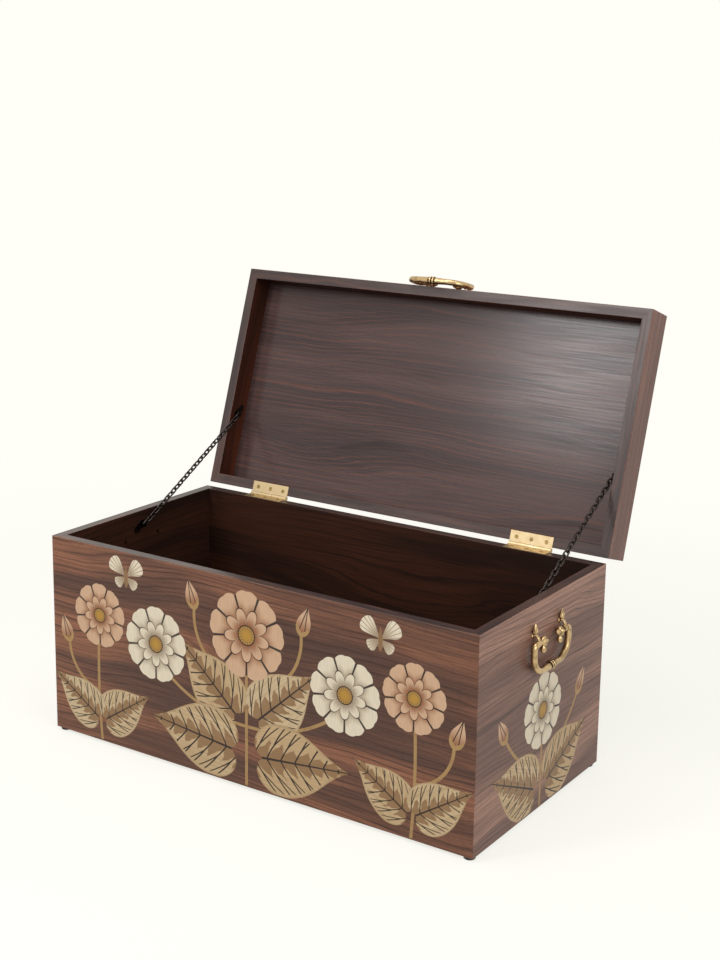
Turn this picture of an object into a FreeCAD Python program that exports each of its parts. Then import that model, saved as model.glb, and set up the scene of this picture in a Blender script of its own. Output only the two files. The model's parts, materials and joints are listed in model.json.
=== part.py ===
"""Inlaid rosewood trunk, standing open on its stay chains, in millimetres.

The origin lies on the floor under the middle of the box. X runs along the trunk,
the front faces -Y and Z points up. The lid and all that it carries are built shut
and then turned open about the hinge pins.
"""
import FreeCAD, Part
import math
import os
import re
from types import SimpleNamespace

import Sketcher
from FreeCAD import Placement, Rotation, Vector

# Driving dimensions: alias, value, meaning.
DRIVING = (
    ("trunk_length", 914, "outside length of the box and the lid"),
    ("trunk_width", 457, "outside width from front to back"),
    ("box_height", 379, "height of the box walls"),
    ("wall", 20, "thickness of the boards"),
    ("arris", 1.2, "rounding of the board edges and bevel of the corners"),
    ("bottom_thickness", 12, "thickness of the bottom panel"),
    ("bottom_lift", 14, "bottom panel above the lower edge of the box"),
    ("groove_depth", 9, "depth of the groove that holds the bottom panel"),
    ("slot_clearance", 0.2, "play of panels in grooves and of leaves in mortises"),
    ("foot_height", 6, "height of a glide"),
    ("foot_diameter", 20, "diameter of a glide"),
    ("foot_inset", 13, "glide centre inside the outer faces"),
    ("foot_edge", 1, "bevel round the glide"),
    ("foot_recess", 0.8, "screw head above the floor"),
    ("lid_depth", 67, "height of the lid rails"),
    ("lid_gap", 2, "gap between rim and lid when shut"),
    ("lid_panel_thickness", 18, "thickness of the lid's top panel"),
    ("rabbet_width", 10, "seat of the top panel in the rails"),
    ("open_angle", 108, "opening of the lid in degrees"),
    ("hinge_inset", 157, "hinge centre from the end of the trunk"),
    ("hinge_length", 88, "length of a hinge"),
    ("leaf_reach", 25, "leaf from pin axis to its front edge"),
    ("leaf_thickness", 2, "thickness of a leaf"),
    ("leaf_proud", 0.8, "leaf above the wood"),
    ("leaf_clearance", 0.4, "leaf edge clear of the other leaf's barrel"),
    ("barrel_diameter", 9, "outside of the knuckles"),
    ("hinge_pin_diameter", 5, "hinge pin"),
    ("pin_setback", 6, "pin axis behind the back of the trunk"),
    ("knuckle_gap", 0.3, "gap between knuckles and beside handle eyes"),
    ("running_clearance", 0.05, "radial play of a pin in its bore"),
    ("leaf_screw_reach", 14, "screw line from the pin axis"),
    ("leaf_screw_spread", 31, "outer screws from the middle of the leaf"),
    ("screw_diameter", 4, "shank of hinge and handle screws"),
    ("screw_head", 8, "countersunk head of hinge and handle screws"),
    ("screw_slot", 1, "slot in a screw head"),
    ("hinge_screw_length", 17, "length of a hinge screw"),
    ("small_screw_diameter", 3, "shank of plate and glide screws"),
    ("small_screw_head", 5.6, "countersunk head of plate and glide screws"),
    ("small_screw_length", 13, "length of a plate or glide screw"),
    ("screw_clearance", 0.1, "radial play of a screw in its hole"),
    ("handle_height", 313, "end handle pivots above the lower edge of the box"),
    ("lid_handle_height", 32, "lid handle pivots above the lower edge of the lid"),
    ("handle_standoff", 11, "pivot axis off the face"),
    ("mount_spread", 48, "handle mount from the middle of its handle"),
    ("eye_diameter", 11, "eye of a mount"),
    ("eye_length", 8, "length of an eye"),
    ("boss_diameter", 11, "boss of a mount on the face"),
    ("boss_height", 3, "height of that boss"),
    ("arm_diameter", 6, "arm from boss to eye"),
    ("arm_drop", 4, "straight end of the arm above the pivot"),
    ("finial_length", 17, "bud above the boss"),
    ("finial_width", 11, "width of the bud"),
    ("screw_bite", 2.2, "handle screw inside the boss"),
    ("bail_pin_diameter", 5, "turned-in end of a bail"),
    ("bail_pin_bite", 6, "bail end inside its knob"),
    ("bail_half_width", 62, "limb axis from the middle of the bail"),
    ("bail_drop", 51, "lower bar axis under the pivots"),
    ("bail_diameter", 11.5, "limbs of the bail"),
    ("bail_shoulder_radius", 7.5, "upper bend of a limb"),
    ("bail_corner_radius", 33, "lower bend of a limb"),
    ("sleeve_diameter", 13.4, "swelling in the middle of the bail"),
    ("sleeve_reach", 8, "end of the plain sleeve from the middle"),
    ("swell_reach", 28, "end of the taper from the middle"),
    ("ring_thickness", 3.2, "thickness of the two rings"),
    ("ring_spread", 3.1, "ring from the middle of the bail"),
    ("knob_diameter", 18, "flower knob on the bail's end"),
    ("knob_length", 27, "length of that knob"),
    ("rest_clearance", 0.3, "lid bail clear of the face it lies on"),
    ("chain_standoff", 7.5, "chain plane off the inside of the wall"),
    ("chain_wire", 3.2, "wire of the links and the studs"),
    ("link_bow_radius", 4.2, "wire axis round the end of a link"),
    ("link_gap", 0.3, "play between links"),
    ("box_stud_drop", 27, "box stud below the rim"),
    ("lid_stud_reach", 150, "lid stud from the back of the lid"),
    ("lid_stud_rise", 20, "lid stud above the lower edge of the lid"),
    ("stud_head", 6.5, "head of a stud"),
    ("stud_head_thickness", 1.2, "thickness of that head"),
    ("stud_play", 0.5, "link clear of the stud head"),
    ("plate_length", 32, "length of a chain plate"),
    ("plate_width", 14, "width of a chain plate"),
    ("plate_thickness", 1.5, "thickness of a chain plate"),
    ("plate_screw_pitch", 10.5, "spacing of stud and screws on the plate"),
    ("inlay_thickness", 1.2, "thickness of the inlaid veneer"),
    ("leaf_blade_length", 200, "large inlaid leaf"),
    ("leaf_blade_width", 132, "width of a large inlaid leaf"),
    ("blossom_radius", 72, "inlaid blossom"),
    ("bud_length", 56, "inlaid bud"),
    ("bud_width", 29, "width of an inlaid bud"),
    ("stem_width", 6, "inlaid stem"),
    ("wing_length", 46, "upper wing of an inlaid butterfly"),
    ("inlay_margin", 2, "inlay clear of the edges of its panel"),
    ("overrun", 1, "cuts past the faces that they open"),
)

# Counts, and the number of links in the three runs of a chain.
KNUCKLES = 5
PETALS = 9
CHAIN_RUNS = (11, 3, 15)

doc = FreeCAD.newDocument("inlaid_trunk")
sheet = doc.addObject("Spreadsheet::Sheet", "Dims")
for row, (alias, value, meaning) in enumerate(DRIVING, start=1):
    sheet.set(f"A{row}", meaning)
    sheet.set(f"B{row}", str(value))
    sheet.setAlias(f"B{row}", alias)
doc.recompute()
size = SimpleNamespace(**{alias: float(sheet.get(alias)) for alias, value, meaning in DRIVING})
ALIASES = re.compile(r"\b(" + "|".join(alias for alias, value, meaning in DRIVING) + r")\b")

# Shared places, as formulas for the sheet and as numbers.
RIM = "(foot_height + box_height)"
LID_UNDER = f"({RIM} + lid_gap)"
PIN_Y = "(trunk_width / 2 + pin_setback)"
PIN_Z = f"({RIM} + lid_gap / 2)"
HINGE_X = "(trunk_length / 2 - hinge_inset)"
rim = size.foot_height + size.box_height
lid_under = rim + size.lid_gap
pin_y = size.trunk_width / 2 + size.pin_setback
hinge_x = size.trunk_length / 2 - size.hinge_inset
pin_z = rim + size.lid_gap / 2

ORIGIN = Vector(0, 0, 0)
AXIS_X = Vector(1, 0, 0)
AXIS_Y = Vector(0, 1, 0)
AXIS_Z = Vector(0, 0, 1)
LID_OPEN = Placement(ORIGIN, Rotation(AXIS_X, -size.open_angle), Vector(0, pin_y, pin_z))

nodes = []


def bind(thing, **formulas):
    """Tie properties to the sheet; the formulas use the aliases as plain words."""
    for name, formula in formulas.items():
        thing.setExpression(name, ALIASES.sub(r"Dims.\1", formula))


def place(thing, x, y, z):
    for axis, formula in zip("xyz", (x, y, z)):
        thing.setExpression(f"Placement.Base.{axis}", ALIASES.sub(r"Dims.\1", formula))


def block(name, corner, extent):
    """A box from its low corner and its extent, both as formulas."""
    solid = doc.addObject("Part::Box", name)
    bind(solid, Length=extent[0], Width=extent[1], Height=extent[2])
    place(solid, *corner)
    return solid


def rod(name, start, radius, length, direction=AXIS_Z):
    """A round bar along an axis, from formulas."""
    solid = doc.addObject("Part::Cylinder", name)
    solid.Placement = Placement(ORIGIN, Rotation(AXIS_Z, direction))
    bind(solid, Radius=radius, Height=length)
    place(solid, *start)
    return solid


def plain(name, shape, placement=Placement()):
    """A shape that no primitive gives, with its place."""
    thing = doc.addObject("Part::Feature", name)
    thing.Shape = shape
    thing.Placement = placement.multiply(shape.Placement)
    return thing


def fused(name, things):
    thing = doc.addObject("Part::MultiFuse", name)
    thing.Shapes = things
    return thing


def less(name, base, tools):
    """Base with the tools cut out of it."""
    group = doc.addObject("Part::Compound", f"{name}_cuts")
    group.Links = tools
    thing = doc.addObject("Part::Cut", name)
    thing.Base = base
    thing.Tool = group
    return thing


def node(label, thing, placement=None):
    """Keep a finished sub-part under its own label."""
    if placement is not None:
        thing.Placement = placement.multiply(thing.Placement)
    thing.Label = label
    nodes.append(thing)
    return thing


def group(label, shapes, placement=Placement()):
    """Equal small pieces that share one label."""
    return node(label, plain(f"{label}_group", Part.makeCompound(shapes), placement))


# Boards


def outline(body, name, corners):
    """A closed sketch on the body's XY plane with every corner tied to the sheet."""
    sketch = body.newObject("Sketcher::SketchObject", name)
    plane = next(part for part in body.Origin.OriginFeatures if part.Role == "XY_Plane")
    sketch.AttachmentSupport = [(plane, "")]
    sketch.MapMode = "FlatFace"
    count = len(corners)
    turns = [2 * math.pi * index / count for index in range(count)]
    spots = [Vector(math.cos(turn), math.sin(turn), 0) * size.wall for turn in turns]
    for index in range(count):
        sketch.addGeometry(Part.LineSegment(spots[index], spots[(index + 1) % count]), False)
    for index in range(count):
        sketch.addConstraint(Sketcher.Constraint("Coincident", index, 2, (index + 1) % count, 1))
    for index, corner in enumerate(corners):
        for kind, formula, axis in zip(("DistanceX", "DistanceY"), corner, (-2, -1)):
            if formula == "0":
                sketch.addConstraint(Sketcher.Constraint("PointOnObject", index, 1, axis))
                continue
            rule = sketch.addConstraint(Sketcher.Constraint(kind, -1, 1, index, 1, size.wall))
            sketch.setExpression(f"Constraints[{rule}]", ALIASES.sub(r"Dims.\1", formula))
    return sketch


def board(name, run, height, turn, corner):
    """A mitred board with round edges; its outer face runs from the corner along the turn."""
    plan = doc.addObject("PartDesign::Body", f"{name}_plan")
    mitres = outline(plan, f"{name}_mitres", (
        ("arris", "0"), (f"{run} - arris", "0"), (f"{run} - arris / 2", "arris / 2"),
        (f"{run} - wall", "wall"), ("wall", "wall"), ("arris / 2", "arris / 2")))
    pad = plan.newObject("PartDesign::Pad", f"{name}_rise")
    pad.Profile = mitres
    bind(pad, Length=height)
    stock = doc.addObject("PartDesign::Body", f"{name}_stock")
    blank = stock.newObject("PartDesign::AdditiveBox", f"{name}_blank")
    bind(blank, Length=run, Width="wall", Height=height)
    doc.recompute()
    long_edges = [f"Edge{index}" for index, edge in enumerate(blank.Shape.Edges, start=1)
                  if abs(edge.tangentAt(edge.FirstParameter).x) == 1]
    rounding = stock.newObject("PartDesign::Fillet", f"{name}_arrises")
    rounding.Base = (blank, long_edges)
    bind(rounding, Radius="arris")
    for body in (plan, stock):
        body.Placement = Placement(ORIGIN, Rotation(AXIS_Z, turn))
        place(body, *corner)
    thing = doc.addObject("Part::Common", f"{name}_board")
    thing.Base = plan
    thing.Tool = stock
    return thing


def frame_of_boards(prefix, height, base):
    """Four mitred boards round the trunk: front, right, back and left."""
    left, right = "-trunk_length / 2", "trunk_length / 2"
    front, back = "-trunk_width / 2", "trunk_width / 2"
    return SimpleNamespace(
        front=board(f"{prefix}_front", "trunk_length", height, 0, (left, front, base)),
        right=board(f"{prefix}_right", "trunk_width", height, 90, (right, front, base)),
        back=board(f"{prefix}_back", "trunk_length", height, 180, (right, back, base)),
        left=board(f"{prefix}_left", "trunk_width", height, -90, (left, back, base)))


# Screws


def screw(diameter, head, length, play=0.0):
    """A countersunk screw that points down from its head at the origin; play makes its hole."""
    shank = diameter / 2 + play
    rim_radius = head / 2 + play
    sink = rim_radius - shank
    tip = length - diameter + play
    profile = Part.makePolygon([
        ORIGIN, Vector(rim_radius, 0, 0), Vector(shank, 0, -sink), Vector(shank, 0, -tip),
        Vector(0, 0, -length - play), ORIGIN])
    return Part.Face(profile).revolve(ORIGIN, AXIS_Z)


def slotted(shape, head):
    """The screw with a straight slot across its head."""
    depth = size.screw_slot
    cutter = Part.makeBox(head + 2 * size.overrun, size.screw_slot, depth + size.overrun,
                          Vector(-head / 2 - size.overrun, -size.screw_slot / 2, -depth))
    return shape.cut(cutter)


def screw_set(diameter, head, length, places, above=0.0):
    """Slotted screws and the holes that take them, open for some way above the heads."""
    play = size.screw_clearance
    body = slotted(screw(diameter, head, length), head)
    hole = screw(diameter, head, length, play)
    hole = hole.fuse(Part.makeCylinder(head / 2 + play, above + size.overrun))
    screws = [body.transformed(spot.toMatrix()) for spot in places]
    holes = [hole.transformed(spot.toMatrix()) for spot in places]
    return screws, holes


def pointing(direction, spot):
    """The place of a screw whose head lies at the spot and that points along the direction."""
    return Placement(spot, Rotation(-AXIS_Z, direction))


# Hinges, shut


def hinge_leaf(name, side, knuckles, plate_z, holes):
    """One leaf: plate, own knuckles with their webs, bore for the pin and screw holes."""
    middle = f"({side} * {HINGE_X})"
    start = f"({middle} - hinge_length / 2)"
    plate = block(f"{name}_plate", (start, f"{PIN_Y} - leaf_reach", plate_z),
                  ("hinge_length", "leaf_reach - barrel_diameter / 2 - leaf_clearance",
                   "leaf_thickness"))
    pieces = [plate]
    for index in knuckles:
        low = f"{start} + {index} * hinge_length / {KNUCKLES} + knuckle_gap / 2"
        run = f"hinge_length / {KNUCKLES} - knuckle_gap"
        pieces.append(block(
            f"{name}_web_{index}", (low, f"{PIN_Y} - barrel_diameter / 2 - leaf_clearance", plate_z),
            (run, "barrel_diameter / 2 + leaf_clearance", "leaf_thickness")))
        pieces.append(rod(f"{name}_knuckle_{index}", (low, PIN_Y, PIN_Z), "barrel_diameter / 2",
                          run, AXIS_X))
    bore = rod(f"{name}_bore", (f"{start} - overrun", PIN_Y, PIN_Z),
               "hinge_pin_diameter / 2 + running_clearance", "hinge_length + 2 * overrun", AXIS_X)
    return less(f"{name}_leaf", fused(f"{name}_blank", pieces), [bore] + holes)


def leaf_seat(name, side, low):
    """The mortise that lets a leaf into a rim, from its low face."""
    return block(name, (f"{side} * {HINGE_X} - hinge_length / 2 - slot_clearance",
                        f"{PIN_Y} - leaf_reach - slot_clearance", low),
                 ("hinge_length + 2 * slot_clearance", "leaf_reach + slot_clearance",
                  "leaf_thickness - leaf_proud + overrun"))


box_leaf_z = f"({RIM} + leaf_proud - leaf_thickness)"
lid_leaf_z = f"({LID_UNDER} - leaf_proud)"
hinge_screw_spots = [(side * hinge_x + step * size.leaf_screw_spread,
                      pin_y - size.leaf_screw_reach)
                     for side in (-1, 1) for step in (-1, 0, 1)]
hinge_screw = (size.screw_diameter, size.screw_head, size.hinge_screw_length)
box_hinge_screws, box_hinge_holes = screw_set(*hinge_screw, [
    pointing(-AXIS_Z, Vector(x, y, rim + size.leaf_proud)) for x, y in hinge_screw_spots])
lid_hinge_screws, lid_hinge_holes = screw_set(*hinge_screw, [
    pointing(AXIS_Z, Vector(x, y, lid_under - size.leaf_proud)) for x, y in hinge_screw_spots])
box_leaf_holes = plain("box_leaf_holes", Part.makeCompound(box_hinge_holes))
lid_leaf_holes = plain("lid_leaf_holes", Part.makeCompound(lid_hinge_holes))

# Handles, built facing the front: pivots along X, face of the wood at Y = 0


def mount(side):
    """Boss, swan-neck arm, bud and eye of one handle mount, with its bores."""
    x = side * size.mount_spread
    bend = size.handle_standoff - size.boss_height
    rise = bend + size.arm_drop
    neck = bend * math.sqrt(0.5)
    elbow = Vector(x, -size.boss_height - neck, rise - bend + neck)
    path = Part.Wire([
        Part.LineSegment(Vector(x, 0, rise), Vector(x, -size.boss_height, rise)).toShape(),
        Part.Arc(Vector(x, -size.boss_height, rise), elbow,
                 Vector(x, -size.handle_standoff, size.arm_drop)).toShape(),
        Part.LineSegment(Vector(x, -size.handle_standoff, size.arm_drop),
                         Vector(x, -size.handle_standoff, 0)).toShape()])
    section = Part.Wire(Part.makeCircle(size.arm_diameter / 2, Vector(x, 0, rise), AXIS_Y))
    arm = path.makePipeShell([section], True, False)
    boss = Part.makeCylinder(size.boss_diameter / 2, size.boss_height, Vector(x, 0, rise), -AXIS_Y)
    pivot = Vector(x - size.eye_length / 2, -size.handle_standoff, 0)
    eye = Part.makeCylinder(size.eye_diameter / 2, size.eye_length, pivot, AXIS_X)
    shape = arm.fuse([boss, eye, finial(x, rise)]).removeSplitter()
    bore = Part.makeCylinder(size.bail_pin_diameter / 2 + size.running_clearance,
                             size.eye_length + 2 * size.overrun,
                             pivot - AXIS_X * size.overrun, AXIS_X)
    tapped = Part.makeCylinder(size.screw_diameter / 2 + size.screw_clearance,
                               size.screw_bite + size.screw_clearance + size.overrun,
                               Vector(x, size.overrun, rise), -AXIS_Y)
    return shape.cut([bore, tapped])


# Profile of the bud as shares of its length and half width.
FINIAL_SHARES = ((0.0, 0.0), (0.0, 0.62), (0.18, 0.86), (0.36, 1.0), (0.6, 0.82), (0.85, 0.36), (1.0, 0.0))


def finial(x, rise):
    """A pointed bud that stands on the boss, close to the face."""
    radius = size.finial_width / 2
    foot = Vector(x, -radius - size.slot_clearance, rise)
    points = [foot + Vector(across * radius, 0, along * (size.finial_length + size.boss_diameter / 2))
              for along, across in FINIAL_SHARES]
    return Part.Face(Part.makePolygon(points + [foot])).revolve(foot, AXIS_Z)


# Profile of the flower knob as shares of its length and half diameter.
KNOB_SHARES = ((0.0, 0.0), (0.0, 0.4), (0.18, 0.42), (0.36, 0.82), (0.48, 1.0), (0.6, 0.96), (0.69, 0.6),
               (0.84, 0.52), (0.94, 0.34), (1.0, 0.0))


def knob(side):
    """The flower on the inner end of a bail's pin, with the bore for the pin."""
    outer = size.mount_spread - size.eye_length / 2 - size.knuckle_gap
    start = Vector(outer, -size.handle_standoff, 0)
    points = [start + Vector(-along * size.knob_length, 0, across * size.knob_diameter / 2)
              for along, across in KNOB_SHARES]
    shape = Part.Face(Part.makePolygon(points + [start])).revolve(start, AXIS_X)
    bore = Part.makeCylinder(size.bail_pin_diameter / 2 + size.running_clearance,
                             size.bail_pin_bite + size.running_clearance + size.overrun,
                             start + AXIS_X * size.overrun, -AXIS_X)
    shape = shape.cut(bore)
    return shape if side > 0 else shape.mirror(ORIGIN, AXIS_X)


def bail():
    """The swinging bar: turned-in pins, bent limbs, swollen middle and two rings."""
    y = -size.handle_standoff
    start = size.mount_spread + size.eye_length / 2 + size.knuckle_gap
    shoulder, corner = size.bail_shoulder_radius, size.bail_corner_radius
    wide, low = size.bail_half_width, -size.bail_drop
    slant = math.sqrt(0.5)
    half = [
        Part.LineSegment(Vector(start, y, 0), Vector(wide - shoulder, y, 0)),
        Part.Arc(Vector(wide - shoulder, y, 0),
                 Vector(wide - shoulder * (1 - slant), y, -shoulder * (1 - slant)),
                 Vector(wide, y, -shoulder)),
        Part.LineSegment(Vector(wide, y, -shoulder), Vector(wide, y, low + corner)),
        Part.Arc(Vector(wide, y, low + corner),
                 Vector(wide - corner * (1 - slant), y, low + corner * (1 - slant)),
                 Vector(wide - corner, y, low)),
        Part.LineSegment(Vector(wide - corner, y, low), Vector(0, y, low))]
    path = Part.Wire([curve.toShape() for curve in half])
    section = Part.Wire(Part.makeCircle(size.bail_diameter / 2, Vector(start, y, 0), AXIS_X))
    limb = path.makePipeShell([section], True, False)
    inner = size.mount_spread - size.eye_length / 2 - size.knuckle_gap - size.bail_pin_bite
    pin = Part.makeCylinder(size.bail_pin_diameter / 2, start + size.overrun - inner,
                            Vector(inner, y, 0), AXIS_X)
    taper = Part.makeCone(size.sleeve_diameter / 2, size.bail_diameter / 2,
                          size.swell_reach - size.sleeve_reach,
                          Vector(size.sleeve_reach, y, low), AXIS_X)
    sleeve = Part.makeCylinder(size.sleeve_diameter / 2, size.sleeve_reach, Vector(0, y, low), AXIS_X)
    ring = Part.makeTorus(size.sleeve_diameter / 2, size.ring_thickness / 2,
                          Vector(size.ring_spread, y, low), AXIS_X)
    right = limb.fuse([pin, taper, sleeve, ring])
    return right.fuse(right.mirror(ORIGIN, AXIS_X)).removeSplitter()


mount_rise = size.handle_standoff - size.boss_height + size.arm_drop
handle_screws, handle_holes = screw_set(
    size.screw_diameter, size.screw_head, size.wall + size.screw_bite,
    [pointing(-AXIS_Y, Vector(side * size.mount_spread, size.wall, mount_rise)) for side in (-1, 1)])
ring_radius = (size.sleeve_diameter + size.ring_thickness) / 2
bail_lean = math.degrees(math.asin(
    (size.handle_standoff - ring_radius - size.rest_clearance) / size.bail_drop))
end_handle_z = size.foot_height + size.handle_height
HANDLE_PLACES = {
    "left_end": Placement(Vector(-size.trunk_length / 2, 0, end_handle_z), Rotation(AXIS_Z, -90)),
    "right_end": Placement(Vector(size.trunk_length / 2, 0, end_handle_z), Rotation(AXIS_Z, 90)),
    "lid": Placement(Vector(0, -size.trunk_width / 2, lid_under + size.lid_handle_height),
                     Rotation()),
}
handle_cuts = {name: plain(f"{name}_handle_holes", Part.makeCompound(handle_holes), spot)
               for name, spot in HANDLE_PLACES.items()}

# Stay chains


def lid_turned(y, z):
    """Where a point of the shut lid stands when the lid is open, in the chain's plane."""
    spot = LID_OPEN.multVec(Vector(0, y, z))
    return Vector(0, spot.y, spot.z)


box_stud = Vector(0, 0, rim - size.box_stud_drop)
lid_stud = lid_turned(size.trunk_width / 2 - size.lid_stud_reach, lid_under + size.lid_stud_rise)
chain_reach = (lid_stud - box_stud).Length
chain_line = (lid_stud - box_stud).normalize()
chain_plane = size.trunk_length / 2 - size.wall - size.chain_standoff
link_count = sum(CHAIN_RUNS)
link_hook = size.chain_wire + size.link_gap
flat_links = (link_count + 1) // 2
link_length = (chain_reach + flat_links * 2 * link_hook) / link_count


def link():
    """One welded link along X, flat in the XY plane; its length is taken along the wire axis."""
    bow = size.link_bow_radius
    wire = size.chain_wire / 2
    straight = link_length - 2 * bow
    legs = [Part.makeCylinder(wire, straight, Vector(-straight / 2, side * bow, 0), AXIS_X)
            for side in (-1, 1)]
    ends = []
    for side in (-1, 1):
        half = Part.makeTorus(bow, wire, ORIGIN, AXIS_Z, 0, 360, 180)
        half.rotate(ORIGIN, AXIS_Z, -side * 90)
        half.translate(Vector(side * straight / 2, 0, 0))
        ends.append(half)
    return legs[0].fuse([legs[1]] + ends).removeSplitter()


def chain_frame(side, spot, along):
    """A place on the wall side with X along the chain and Z off the wall."""
    off_wall = AXIS_X * -side
    return Placement(spot, Rotation(along, off_wall.cross(along), off_wall, "ZXY"))


def chain_runs(side):
    """The links of one chain, in the runs that fold when the lid shuts."""
    flat = link()
    edge_on = flat.copy()
    edge_on.rotate(ORIGIN, AXIS_X, 90)
    start = Vector(side * chain_plane, box_stud.y, box_stud.z)
    turn = chain_frame(side, ORIGIN, chain_line)
    reach = 0.0
    runs = []
    index = 0
    for count in CHAIN_RUNS:
        run = []
        for number in range(index, index + count):
            is_flat = number % 2 == 0
            span = link_length - 2 * link_hook if is_flat else link_length
            middle = start + chain_line * (reach + span / 2)
            spot = Placement(middle, turn.Rotation)
            run.append((flat if is_flat else edge_on).transformed(spot.toMatrix()))
            reach += span
        index += count
        runs.append(run)
    return runs


def chain_plate():
    """Plate with round ends and a headed stud at the origin; the chain leaves along X."""
    half = size.plate_width / 2
    back = -(size.plate_length - size.plate_width)
    plate = Part.makeBox(-back, size.plate_width, size.plate_thickness, Vector(back, -half, 0))
    ends = [Part.makeCylinder(half, size.plate_thickness, Vector(x, 0, 0)) for x in (back, 0)]
    neck = size.chain_standoff + size.chain_wire / 2 + size.stud_play
    stud = Part.makeCylinder(size.chain_wire / 2, neck)
    head = Part.makeCylinder(size.stud_head / 2, size.stud_head_thickness, Vector(0, 0, neck))
    return plate.fuse(ends + [stud, head]).removeSplitter()


plate_screw_spots = [pointing(-AXIS_Z, Vector(-step * size.plate_screw_pitch, 0, size.plate_thickness))
                     for step in (1, 2)]
plate_screws, plate_holes = screw_set(size.small_screw_diameter, size.small_screw_head,
                                      size.small_screw_length, plate_screw_spots)
inner_wall = size.trunk_length / 2 - size.wall
box_plate_frames = {side: chain_frame(side, Vector(side * inner_wall, box_stud.y, box_stud.z), chain_line)
                    for side in (-1, 1)}
lid_plate_frames = {side: LID_OPEN.inverse().multiply(chain_frame(
    side, Vector(side * inner_wall, lid_stud.y, lid_stud.z), chain_line * -1)) for side in (-1, 1)}
SIDES = {-1: "left", 1: "right"}


def placed(shapes, frames):
    """Copies of the shapes in each of the frames."""
    return [shape.transformed(frame.toMatrix()) for frame in frames for shape in shapes]


def plate_cuts(name, frame):
    return plain(name, Part.makeCompound(plate_holes), frame)


# Inlay, drawn on a face seen from outside: X to the right, Y up from its lower edge

# Upper half of a heart-shaped leaf, from its notch to its tip.
LEAF_SHARES = ((0.07, 0.0), (0.0, 0.22), (0.1, 0.43), (0.32, 0.5), (0.58, 0.37), (0.8, 0.14), (1.0, 0.0))
# Half of a petal from the middle of the blossom to its tip.
PETAL_SHARES = ((0.0, 0.0), (0.5, 0.6), (0.8, 0.97), (0.95, 0.7), (1.0, 0.0))
# Half of a bud, and half of a butterfly's wing.
BUD_SHARES = ((0.0, 0.0), (0.12, 0.36), (0.42, 0.5), (0.76, 0.26), (1.0, 0.0))
WING_SHARES = ((0.0, 0.03), (0.4, 0.2), (0.78, 0.34), (1.0, 0.0))
LOWER_WING_SHARE = 0.66
# Wings of a butterfly: direction and share of the upper wing; its body's length and width.
WING_TURNS = ((38, 1.0), (142, 1.0), (-36, LOWER_WING_SHARE), (-144, LOWER_WING_SHARE))
BODY_SHARES = (0.95, 0.2)
LEAF_SIZE_SHARES = {"large": 1.0, "middle": 0.88, "small": 0.68}


def slab(edges):
    """Veneer with the given closed outline, let into the face."""
    face = Part.Face(Part.Wire(Part.sortEdges(edges)[0]))
    return face.extrude(Vector(0, 0, -size.inlay_thickness))


def mirrored_outline(shares, length, width):
    """A smooth half outline and its mirror image, along X from the origin."""
    halves = []
    for side in (1, -1):
        curve = Part.BSplineCurve()
        curve.interpolate([Vector(along * length, side * across * width, 0)
                           for along, across in shares])
        halves.append(curve.toShape())
    return halves


def turned(shape, degrees, x, y):
    """A copy of the shape turned about its root and moved to its place."""
    spot = Placement(Vector(x, y, 0), Rotation(AXIS_Z, degrees))
    return shape.transformed(spot.toMatrix())


def leaf_blade(kind):
    share = LEAF_SIZE_SHARES[kind]
    return slab(mirrored_outline(LEAF_SHARES, share * size.leaf_blade_length,
                                 share * size.leaf_blade_width))


def blossom(share):
    """A round blossom: one veneer with a scalloped outline of petals."""
    radius = share * size.blossom_radius
    half_width = radius * math.sin(math.pi / PETALS)
    petal = slab(mirrored_outline(PETAL_SHARES, radius, half_width))
    heart = Part.makeCylinder(radius * PETAL_SHARES[1][0], size.inlay_thickness,
                              Vector(0, 0, -size.inlay_thickness))
    petals = [turned(petal, 90 + index * 360 / PETALS, 0, 0) for index in range(PETALS)]
    return heart.fuse(petals).removeSplitter()


def wing(share):
    """One wing along X from the middle of a butterfly."""
    length = share * size.wing_length
    root = WING_SHARES[0][1] * length
    inner = Part.LineSegment(Vector(0, -root, 0), Vector(0, root, 0)).toShape()
    return slab(mirrored_outline(WING_SHARES, length, length) + [inner])


def butterfly():
    """Four wings and a slim body in one veneer."""
    wings = [turned(wing(share), angle, 0, 0) for angle, share in WING_TURNS]
    length = BODY_SHARES[0] * size.wing_length
    trunk = slab(mirrored_outline(BUD_SHARES, length, BODY_SHARES[1] * size.wing_length))
    return turned(trunk, 90, 0, -length / 2).fuse(wings).removeSplitter()


def stem(start, middle, end):
    """A curved strip through three points of the face."""
    half = size.stem_width / 2
    bend = Part.Arc(start, middle, end).toShape().Curve
    centre, radius = bend.Center, bend.Radius
    sides = []
    for offset in (-half, half):
        points = [centre + (point - centre).normalize() * (radius + offset)
                  for point in (start, middle, end)]
        sides.append((points, Part.Arc(*points).toShape()))
    ends = [Part.LineSegment(sides[0][0][index], sides[1][0][index]).toShape() for index in (0, -1)]
    return slab([sides[0][1], ends[1], sides[1][1], ends[0]])


def straight_stem(top):
    """An upright strip in the middle of the face, from its lower edge."""
    return Part.makeBox(size.stem_width, top, size.inlay_thickness,
                        Vector(-size.stem_width / 2, 0, -size.inlay_thickness))


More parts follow.
